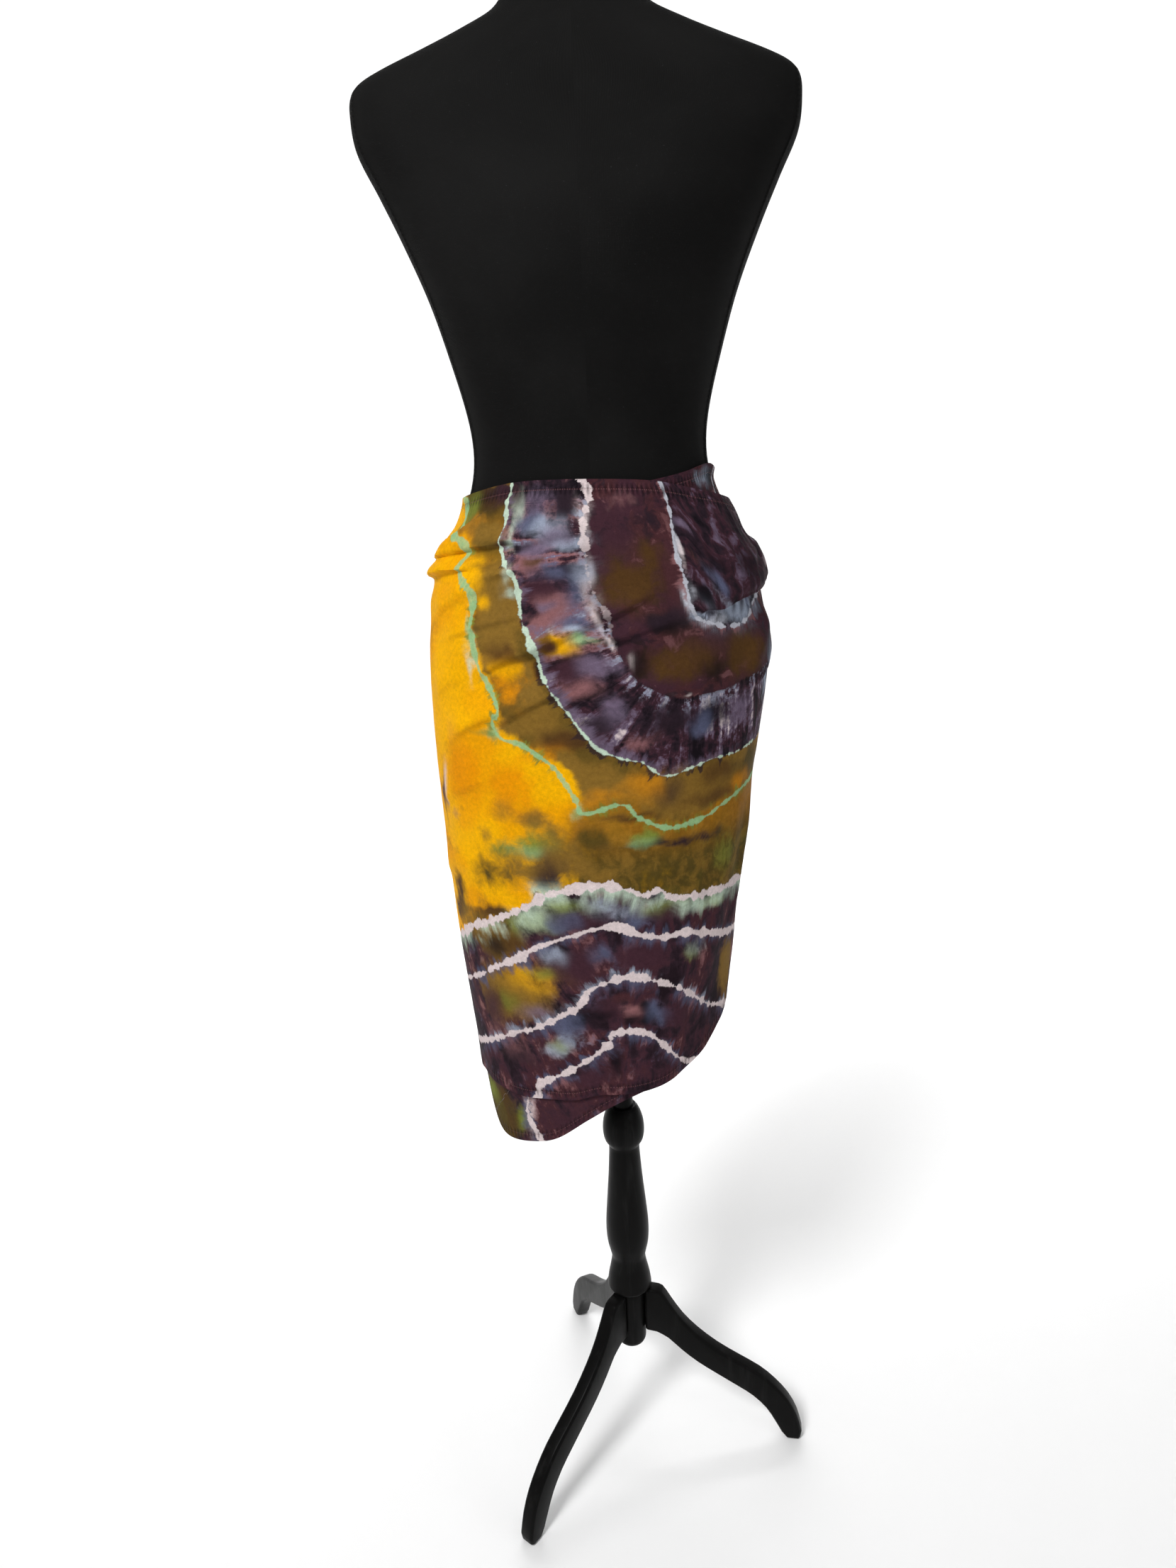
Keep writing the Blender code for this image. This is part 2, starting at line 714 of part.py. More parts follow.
def main():
    for item in list(bpy.data.objects):
        bpy.data.objects.remove(item)
    cloth = new_material("dyed rayon", (0.30, 0.17, 0.10), 0.75)
    jersey = new_material("black jersey", (0.012, 0.012, 0.012), 0.90)
    black_wood = new_material("black painted wood", (0.020, 0.019, 0.018), 0.45)
    black_steel = new_material("black painted steel", (0.020, 0.020, 0.020), 0.40, 0.3)
    items = [make_form(jersey), make_post(black_wood), make_pole(black_steel)]
    items += [make_leg(name, angle, black_wood) for name, angle in LEG_ANGLES.items()]
    items += make_sarong(cloth)
    stand_on_origin(items)


main()
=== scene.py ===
"""A tie-dyed half sarong on a dress form with a turned tripod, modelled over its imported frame.

Metres, +Z up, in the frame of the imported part. Angles round the form are in degrees from the
front (-Y) towards the right (+X). Heights are above the floor.
"""

from collections import namedtuple
from math import cos, pi, radians, sin

import bmesh
import bpy
import numpy as np
from mathutils import Matrix, Vector


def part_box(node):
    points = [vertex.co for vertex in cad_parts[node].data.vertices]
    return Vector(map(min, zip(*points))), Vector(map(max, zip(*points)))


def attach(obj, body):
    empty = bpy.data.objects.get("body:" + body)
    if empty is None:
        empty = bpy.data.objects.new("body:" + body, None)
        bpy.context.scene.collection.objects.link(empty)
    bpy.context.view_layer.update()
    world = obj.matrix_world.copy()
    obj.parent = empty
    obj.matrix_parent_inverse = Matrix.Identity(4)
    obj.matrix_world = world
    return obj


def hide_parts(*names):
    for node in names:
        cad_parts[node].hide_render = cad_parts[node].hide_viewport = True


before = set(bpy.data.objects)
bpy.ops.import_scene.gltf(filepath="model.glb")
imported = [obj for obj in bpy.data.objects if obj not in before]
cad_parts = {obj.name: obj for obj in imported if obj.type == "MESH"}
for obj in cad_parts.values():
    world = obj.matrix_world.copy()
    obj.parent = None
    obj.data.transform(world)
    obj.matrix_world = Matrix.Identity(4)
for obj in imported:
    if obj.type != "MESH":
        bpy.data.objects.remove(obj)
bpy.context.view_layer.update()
POST_LOW, POST_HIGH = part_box("turned_post")

bl_info = {
    "name": "Half sarong on a dress form",
    "version": (1, 0, 0),
    "blender": (4, 5, 0),
    "location": "View3D > Sidebar > Sarong",
    "description": "Adds a wound tie-dyed cloth, its dress form and its turned stand",
    "category": "Add Mesh",
}


def table(kind, *rows):
    """A list of rows of one kind."""
    return [kind(*row) for row in rows]


# The post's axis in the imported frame, and the form's middle, a little to its left
AXIS_X = (POST_LOW.x + POST_HIGH.x) / 2
AXIS_Y = (POST_LOW.y + POST_HIGH.y) / 2
FORM_OFFSET_X = -0.0055

# The solids' own sizes: the wall, the gap between layers and the cloth's length in a degree
SOLID_WALL = 0.0012
LAYER_GAP = 0.0009
ARC_PER_DEGREE = 0.0028
# Where the outer stretch climbs on to the inner one, and where the stretches start and end
CLIMB_START, CLIMB_END = -90.0, -78.0
OUTER_START_ANGLE = -90.0
INNER_END_ANGLE, RIGHT_SEAM_ANGLE = -76.0, 92.0
LEFT_SEAM_ANGLE, OUTER_END_ANGLE = 270.0, 104.0
SEAM_GAP_ANGLE = 0.06

Section = namedtuple("Section", "height half_width front back squareness")
FORM_SECTIONS = table(
    Section,
    (0.880, 0.1515, 0.098, 0.112, 2.10), (0.920, 0.1585, 0.102, 0.120, 2.10),
    (0.980, 0.1670, 0.105, 0.127, 2.10), (1.030, 0.1640, 0.106, 0.124, 2.10),
    (1.080, 0.1530, 0.105, 0.113, 2.10), (1.130, 0.1300, 0.099, 0.095, 2.10),
    (1.160, 0.1175, 0.093, 0.087, 2.10), (1.190, 0.1125, 0.090, 0.083, 2.10),
    (1.225, 0.1155, 0.093, 0.084, 2.05), (1.280, 0.1290, 0.104, 0.089, 2.00),
    (1.330, 0.1440, 0.113, 0.094, 1.95), (1.380, 0.1640, 0.113, 0.097, 1.95),
    (1.420, 0.1820, 0.101, 0.096, 2.00), (1.455, 0.1980, 0.087, 0.090, 2.15),
    (1.485, 0.2010, 0.074, 0.082, 2.30), (1.500, 0.1980, 0.067, 0.078, 2.30),
    (1.508, 0.1890, 0.063, 0.075, 2.25), (1.516, 0.1720, 0.060, 0.072, 2.20),
    (1.528, 0.1410, 0.056, 0.068, 2.10), (1.542, 0.1050, 0.052, 0.064, 2.05),
    (1.556, 0.0740, 0.049, 0.061, 2.00), (1.572, 0.0600, 0.049, 0.058, 2.00),
    (1.594, 0.0570, 0.051, 0.056, 2.00), (1.600, 0.0520, 0.046, 0.051, 2.00),
)

# The cover's rows are closer above this height
SHOULDER_HEIGHT = 1.45
# The knit's scale comes from the form's mean radius
FORM_RADIUS = 0.13
# The cover's serged side seams
SIDE_SEAM = 74.0
SEAM_RIDGE = 0.0012
SEAM_HALF_WIDTH = 0.0026
SEAM_STEPS = (-2.4, -1.6, -1.1, -0.7, -0.35, 0.0, 0.35, 0.7, 1.1, 1.6)

Drape = namedtuple("Drape", "height left right front back")
CLOTH_SQUARENESS = 2.1
CLOTH_SECTIONS = table(
    Drape,
    (0.460, 0.1425, 0.1105, 0.106, 0.100), (0.530, 0.1465, 0.1145, 0.108, 0.103),
    (0.600, 0.1530, 0.1200, 0.110, 0.107), (0.680, 0.1605, 0.1295, 0.112, 0.112),
    (0.760, 0.1655, 0.1390, 0.113, 0.118), (0.840, 0.1690, 0.1485, 0.112, 0.123),
    (0.900, 0.1705, 0.1585, 0.110, 0.127), (0.980, 0.1700, 0.1690, 0.107, 0.129),
    (1.030, 0.1655, 0.1655, 0.107, 0.125), (1.080, 0.1542, 0.1542, 0.106, 0.114),
    (1.130, 0.1310, 0.1310, 0.100, 0.096), (1.160, 0.1185, 0.1185, 0.094, 0.088),
    (1.190, 0.1135, 0.1135, 0.091, 0.084),
)

# A point of an edge or a dye line
Point = namedtuple("Point", "angle height")
INNER_HEM = table(
    Point,
    (-76, 0.535), (-70, 0.503), (-63, 0.480), (-55, 0.473), (-40, 0.478), (-26, 0.489),
    (-10, 0.519), (2, 0.540), (20, 0.557), (36, 0.573), (53, 0.594), (68, 0.614), (80, 0.616),
    (92, 0.608),
)
INNER_TOP = table(
    Point,
    (-76, 1.090), (-48, 1.096), (-26, 1.112), (-8, 1.145), (10, 1.158), (28, 1.163), (48, 1.169),
    (66, 1.175), (78, 1.172), (92, 1.166),
)
BACK_HEM = table(
    Point,
    (92, 0.608), (110, 0.588), (135, 0.564), (170, 0.549), (220, 0.540), (270, 0.537),
)
BACK_TOP = table(
    Point,
    (92, 1.166), (125, 1.168), (180, 1.174), (235, 1.162), (270, 1.150),
)
OUTER_HEM = table(
    Point,
    (-90, 0.537), (-66, 0.543), (-42, 0.539), (-17, 0.542), (-5, 0.551), (20, 0.556), (35, 0.566),
    (53, 0.586), (68, 0.611), (80, 0.645), (90, 0.690), (98, 0.750), (104, 0.840),
)
OUTER_TOP = table(
    Point,
    (-90, 1.150), (-66, 1.157), (-39, 1.165), (-20, 1.167), (10, 1.165), (30, 1.161), (51, 1.152),
    (70, 1.145), (104, 1.136),
)

# Where the inner corner and the tucked end stand out from the waist
Flare = namedtuple("Flare", "out base tip start full")
CORNER_FLARE = Flare(0.004, 1.160, 1.175, 50, 70)
CORNER_END_ANGLE = 110
TUCK_FLARE = Flare(0.005, 1.100, 1.135, 40, 66)

# The large rolls of the solids
Roll = namedtuple("Roll", "angle height to_angle to_height half_width rise")
ROLL_FADE_PAST = 0.10
ROLL_FADE_WITHIN = 0.25
ROLL_CARRY = 24
FRONT_ROLLS = table(
    Roll,
    (-104, 1.108, -50, 1.120, 0.010, 0.0045), (-104, 1.082, -58, 1.094, 0.011, 0.0060),
    (-104, 1.050, -60, 1.066, 0.016, 0.0025), (-50, 1.112, -18, 1.125, 0.010, 0.0030),
    (-62, 1.068, -22, 1.090, 0.013, 0.0035), (-30, 1.078, 2, 1.098, 0.012, 0.0030),
    (-58, 1.010, -14, 1.038, 0.018, 0.0028), (-60, 0.935, -24, 0.972, 0.016, 0.0025),
    (-34, 0.945, 4, 0.985, 0.016, 0.0025), (10, 0.970, 48, 1.010, 0.018, 0.0022),
    (56, 0.985, 78, 1.035, 0.014, 0.0050), (-20, 0.640, -12, 0.820, 0.030, 0.0020),
    (44, 0.650, 62, 0.860, 0.026, 0.0030),
)
BACK_ROLLS = table(
    Roll,
    (112, 1.105, 150, 1.060, 0.014, 0.0050), (112, 1.085, 172, 0.990, 0.016, 0.0045),
    (118, 1.045, 178, 0.900, 0.020, 0.0035), (262, 1.094, 226, 1.072, 0.012, 0.0060),
    (262, 1.068, 206, 1.020, 0.015, 0.0050), (248, 0.960, 200, 0.900, 0.020, 0.0030),
    (146, 0.580, 150, 0.800, 0.026, 0.0050), (186, 0.570, 190, 0.820, 0.028, 0.0055),
    (226, 0.570, 224, 0.780, 0.026, 0.0045),
)

# Creases laid over the rolls. A crease falls away over below on its lower side and
# over above on its upper side, and bow bends its middle up.
Crease = namedtuple("Crease", "angle height to_angle to_height bow below above rise")
CREASE_FADE_PAST = 0.12
CREASE_FADE_WITHIN = 0.30
FRONT_CREASES = table(
    Crease,
    # The cloth rolled over below the hem band at the left
    (-80, 1.098, -29, 1.158, 0.004, 0.0150, 0.0011, 0.0072),
    # Its hem band stands off the waist at the left
    (-120, 1.152, -58, 1.172, 0.0, 0.0160, 0.0200, 0.0052),
    # Folds that run in from the left hip, each with a sharp lower side
    (-92, 1.094, -24, 1.116, 0.002, 0.0020, 0.0110, 0.0058),
    (-92, 1.076, -44, 1.092, 0.003, 0.0020, 0.0100, 0.0066),
    (-44, 1.081, -4, 1.096, 0.002, 0.0028, 0.0120, 0.0049),
    (-70, 1.046, -44, 1.072, 0.002, 0.0050, 0.0120, 0.0030),
    (-28, 1.112, -2, 1.122, 0.001, 0.0030, 0.0090, 0.0032),
    (-62, 1.022, -22, 1.050, 0.002, 0.0035, 0.0140, 0.0036),
    (-26, 1.008, 18, 1.064, 0.001, 0.0028, 0.0120, 0.0057),
    (-42, 0.990, -14, 1.022, 0.003, 0.0030, 0.0120, 0.0049),
    (-58, 0.925, -30, 0.960, 0.002, 0.0035, 0.0140, 0.0041),
    (-34, 0.944, -8, 0.982, 0.002, 0.0030, 0.0120, 0.0053),
    (-4, 1.018, 30, 1.042, 0.001, 0.0040, 0.0130, 0.0036),
    (-10, 0.922, 30, 0.946, 0.002, 0.0060, 0.0160, 0.0028),
    (-72, 0.856, -38, 0.892, 0.002, 0.0060, 0.0180, 0.0032),
    (-82, 0.776, -50, 0.800, 0.002, 0.0080, 0.0200, 0.0028),
    (-70, 0.966, -48, 0.990, 0.002, 0.0050, 0.0160, 0.0028),
    (66, 0.700, 84, 0.860, 0.004, 0.0080, 0.0120, 0.0041),
    (-5, 0.590, -3, 0.860, 0.000, 0.0016, 0.0020, 0.0008),
    (30, 0.600, 38, 0.800, 0.000, 0.0140, 0.0200, 0.0028),
    (-46, 0.580, -42, 0.760, 0.000, 0.0160, 0.0200, 0.0028),
)
# The dragged cloth that hangs over the right hip below the pouch
HIP_STEP = Crease(57, 0.962, 86, 1.020, -0.010, 0.0030, 0.030, 0.0044)
BACK_CREASES = table(
    Crease,
    (96, 1.124, 144, 1.090, 0.001, 0.0120, 0.0028, 0.0051),
    (96, 1.100, 158, 1.032, 0.002, 0.0130, 0.0030, 0.0054),
    (98, 1.066, 166, 0.950, 0.003, 0.0150, 0.0035, 0.0048),
    (100, 1.020, 160, 0.890, 0.003, 0.0160, 0.0040, 0.0036),
    (272, 1.090, 232, 1.066, 0.002, 0.0120, 0.0026, 0.0057),
    (272, 1.112, 240, 1.094, 0.001, 0.0100, 0.0026, 0.0048),
    (270, 1.056, 212, 1.000, 0.002, 0.0130, 0.0032, 0.0045),
    (256, 0.940, 210, 0.890, 0.002, 0.0140, 0.0050, 0.0033),
    (140, 0.880, 180, 0.820, 0.002, 0.0150, 0.0060, 0.0030),
    (192, 0.900, 228, 0.960, 0.002, 0.0060, 0.0150, 0.0030),
)

# The pouch over the right hip: the cloth comes down from the top edge, turns back up under
# itself at the lip, and hangs down again from there.
Pouch = namedtuple("Pouch", "angle lip fold fullness ear")
HIP_POUCH = table(
    Pouch,
    (24, 1.040, 0.000, 0.0000, 0.0), (32, 1.040, 0.005, 0.0045, 0.0),
    (42, 1.045, 0.014, 0.0085, 0.0), (54, 1.053, 0.018, 0.0110, 0.0),
    (66, 1.057, 0.020, 0.0120, 0.15), (76, 1.060, 0.020, 0.0115, 0.6),
    (86, 1.064, 0.019, 0.0118, 1.0), (96, 1.067, 0.014, 0.0080, 0.9),
    (104, 1.070, 0.008, 0.0034, 0.6),
)
FOLD_TIP_ANGLE = 29
FOLD_FULL_ANGLE = 45
FOLD_TURN = 0.0022
# Half the height of the band about the lip, how far the rounded lip sinks, and how much of the
# pouch's swell its back reaches
LIP_BAND = 0.016
LIP_SINK = 0.0022
LIP_BACK = 0.45
# How far out the pouch stands from its lip, 0, to the top edge, 1: rounded, and as an ear
Swell = namedtuple("Swell", "up rounded ear")
POUCH_SWELL = table(
    Swell,
    (0.00, 0.55, 0.60), (0.06, 0.84, 0.90), (0.14, 0.97, 1.00), (0.26, 1.00, 1.05),
    (0.40, 0.92, 1.00), (0.50, 0.80, 0.90), (0.58, 0.66, 0.44), (0.64, 0.56, 0.26),
    (0.76, 0.34, 0.18), (0.88, 0.12, 0.08), (1.00, 0.00, 0.00),
)
POUCH_CREASES = table(
    Crease,
    (73, 1.124, 80, 1.062, 0.000, 0.0012, 0.0070, -0.0034),
    (44, 1.118, 56, 1.066, 0.002, 0.0060, 0.006, 0.0014),
    (56, 1.132, 66, 1.074, -0.002, 0.0060, 0.007, 0.0016),
    (64, 1.072, 84, 1.094, 0.002, 0.0040, 0.006, -0.0020),
    (70, 1.098, 94, 1.108, 0.000, 0.0035, 0.005, -0.0022),
    (36, 1.096, 50, 1.104, 0.001, 0.0060, 0.008, -0.0014),
    (32, 1.050, 40, 1.056, 0.000, 0.0050, 0.005, -0.0026),
    (40, 1.078, 56, 1.084, 0.001, 0.0060, 0.007, 0.0012),
)
# Little pleats in the cloth that comes out from under the lip
PLEAT_ANGLES = [40, 44.5, 48, 52.5, 57, 60.5, 65]
PLEAT_RISE = 0.0011
PLEAT_HALF_ANGLE = 1.3
PLEAT_HEIGHTS = (1.012, 1.036)

# Shallow flutes down the hanging cloth, the sway of its free hem and its fine unevenness
FLUTES = 5
FLUTE_TURN = 20
FLUTE_DEPTH = 0.0030
FLUTE_TOP, FLUTE_BOTTOM = 0.880, 0.540
FRONT_SWAY, BACK_SWAY = 0.0042, 0.0030
SWAY_HEIGHT = 0.060
FRONT_WRINKLES, BACK_WRINKLES = 0.00022, 0.0003
# Over how many degrees the creases and the sway fade out at a seam
CREASE_FADE, SWAY_FADE = 16, 20
# Columns and rows of each sheet
INNER_GRID, BACK_GRID, OUTER_COLUMNS = (150, 210), (180, 215), 232

Turning = namedtuple("Turning", "height radius")
POST_PROFILE = table(
    Turning,
    (0.1270, 0.0100), (0.1290, 0.0145), (0.1325, 0.0171), (0.1375, 0.0180), (0.1600, 0.0180),
    (0.2000, 0.0180), (0.2115, 0.0180), (0.2125, 0.0250), (0.2140, 0.0264), (0.2180, 0.0264),
    (0.2300, 0.0247), (0.2420, 0.0221), (0.2520, 0.0204), (0.2570, 0.0203), (0.2650, 0.0220),
    (0.2760, 0.0243), (0.2900, 0.0255), (0.3080, 0.0252), (0.3350, 0.0231), (0.3650, 0.0205),
    (0.3950, 0.0185), (0.4120, 0.0180), (0.4150, 0.0195), (0.4200, 0.0223), (0.4280, 0.0240),
    (0.4370, 0.0242), (0.4460, 0.0231), (0.4550, 0.0205), (0.4610, 0.0177), (0.4645, 0.0150),
)
# The drum that the legs meet, and its sharp upper edges
DRUM_RADIUS = 0.0180
DRUM_EDGES = (0.2115, 0.2125)
POLE_RADIUS = 0.012
POLE_BOTTOM = 0.4248
POLE_MIDDLE = 0.60
POLE_TOP = 0.9597
LEG_NODES = ("leg_right", "leg_back", "leg_front")

# The photograph's camera, from the post's axis on the floor
CAMERA_DISTANCE = 1.078
CAMERA_HEIGHT = 1.174
CAMERA_DOWN = 16.5
CAMERA_ROLL = -2.7
CAMERA_TURN = -1.2
FOCAL_PIXELS = 1495
PHOTO_HEIGHT = 2212
SENSOR = 36.0

# The stage
FLOOR_SIZE = 16
FLOOR_MIDDLE = (0, -4.5, 0)
CURVE_STEPS = 16
CURVE_STEP_LENGTH = 0.26
WALL_RISE = 8
BACKDROP_GLOW = 1.08
CLOTH_MIDDLE_HEIGHT = 0.95


def linear(red, green, blue):
    """A colour as seen on a screen, from 0 to 255, in Blender's linear values."""
    shares = [channel / 255 for channel in (red, green, blue)]
    return tuple(
        share / 12.92 if share <= 0.04045 else ((share + 0.055) / 1.055) ** 2.4
        for share in shares
    )


# The dyes
GOLD = linear(226, 164, 0)
ORANGE = linear(212, 134, 0)
OCHRE = linear(122, 92, 36)
OLIVE = linear(76, 62, 24)
GREEN = linear(112, 122, 48)
TEAL = linear(140, 182, 134)
MINT = linear(184, 204, 184)
PALE = linear(208, 193, 193)
CHALK = linear(176, 178, 188)
ICE = linear(150, 160, 178)
BLUE_GREY = linear(78, 82, 106)
LILAC = linear(104, 90, 110)
DUSTY_PINK = linear(130, 88, 90)
PLUM = linear(60, 35, 44)
MAROON = linear(66, 37, 41)
AMBER = linear(74, 50, 24)
DARK_PLUM = linear(38, 27, 35)
INK = linear(20, 14, 20)

# The pale lines where the cloth was bound, as points on the front
TEAL_LINE = table(
    Point,
    (-84, 1.160), (-68, 1.146), (-63, 1.124), (-52, 1.108), (-54, 1.088), (-47, 1.074),
    (-44, 1.060), (-43, 1.027), (-39, 0.994), (-32, 0.961), (-35, 0.949), (-33, 0.932),
    (-24, 0.924), (-14, 0.901), (-8, 0.872), (-6, 0.859), (6, 0.866), (12, 0.851), (23, 0.838),
    (37, 0.842), (48, 0.852), (66, 0.862), (96, 0.870),
)
MINT_LINE = table(
    Point,
    (-36, 1.172), (-35, 1.133), (-34, 1.108), (-26, 1.080), (-24, 1.048), (-19, 1.018),
    (-16, 0.988), (-8, 0.951), (0, 0.919), (12, 0.907), (22, 0.890), (34, 0.898), (57, 0.903),
    (96, 0.915),
)
THIRD_LINE = table(
    Point,
    (-4, 1.172), (-1, 1.151), (-3, 1.127), (-1, 1.071), (3, 1.045), (5, 1.019), (10, 0.988),
    (20, 0.968), (30, 0.964), (52, 0.972), (70, 0.985), (96, 1.000),
)
FOURTH_LINE = table(
    Point,
    (29, 1.170), (31, 1.141), (29, 1.101), (30, 1.060), (33, 1.038), (40, 1.030), (48, 1.027),
    (58, 1.032), (66, 1.048), (80, 1.060), (96, 1.066),
)
LOW_LINE_1 = table(
    Point,
    (-94, 0.690), (-70, 0.708), (-56, 0.727), (-37, 0.748), (-21, 0.772), (-9, 0.783), (-1, 0.785),
    (8, 0.778), (14, 0.772), (20, 0.776), (26, 0.765), (47, 0.761), (66, 0.760), (96, 0.748),
)
LOW_LINE_2 = table(
    Point,
    (-94, 0.640), (-70, 0.655), (-54, 0.675), (-37, 0.698), (-18, 0.727), (-1, 0.742), (11, 0.732),
    (23, 0.725), (34, 0.725), (56, 0.708), (72, 0.700), (96, 0.690),
)
LOW_LINE_3 = table(
    Point,
    (-94, 0.560), (-74, 0.577), (-54, 0.597), (-38, 0.617), (-30, 0.623), (-11, 0.655),
    (-7, 0.673), (6, 0.686), (25, 0.672), (43, 0.643), (60, 0.622), (96, 0.600),
)
LOW_LINE_4 = table(
    Point,
    (-60, 0.520), (-34, 0.538), (-31, 0.557), (-20, 0.571), (-3, 0.607), (0, 0.623), (13, 0.622),
    (21, 0.608), (33, 0.579), (43, 0.571), (66, 0.560), (96, 0.540),
)
# The corner of the front's field above and right of the upper lines, and below the lower ones
UPPER_CORNER = table(Point, (140, 0.95), (140, 1.30), (-40, 1.30))
LOWER_CORNER = table(Point, (140, 0.30), (-140, 0.30))
UPPER_LINES = (TEAL_LINE, MINT_LINE, THIRD_LINE, FOURTH_LINE)
LOWER_LINES = (LOW_LINE_1, LOW_LINE_2, LOW_LINE_3, LOW_LINE_4)
# On the inner front two of them run otherwise: at its upper corner, and down its hem
INNER_CORNER_LINE = table(
    Point,
    (76, 1.190), (77, 1.172), (73, 1.158), (71, 1.140), (74, 1.100), (96, 1.060),
)
INNER_HEM_LINE = table(
    Point,
    (-33, 0.580), (-36, 0.558), (-38, 0.539), (-40, 0.515), (-38, 0.499), (-35, 0.486),
    (-31, 0.468), (-30, 0.440),
)
INNER_UPPER_LINES = (TEAL_LINE, MINT_LINE, THIRD_LINE, INNER_CORNER_LINE)
INNER_LOWER_LINES = (LOW_LINE_1, LOW_LINE_2, LOW_LINE_3, INNER_HEM_LINE)
# The back mirrors the front's dye past the first angle, and past the second carries it on
DYE_FOLD_ANGLE = -90
DYE_FOLD_BACK_ANGLE = -268
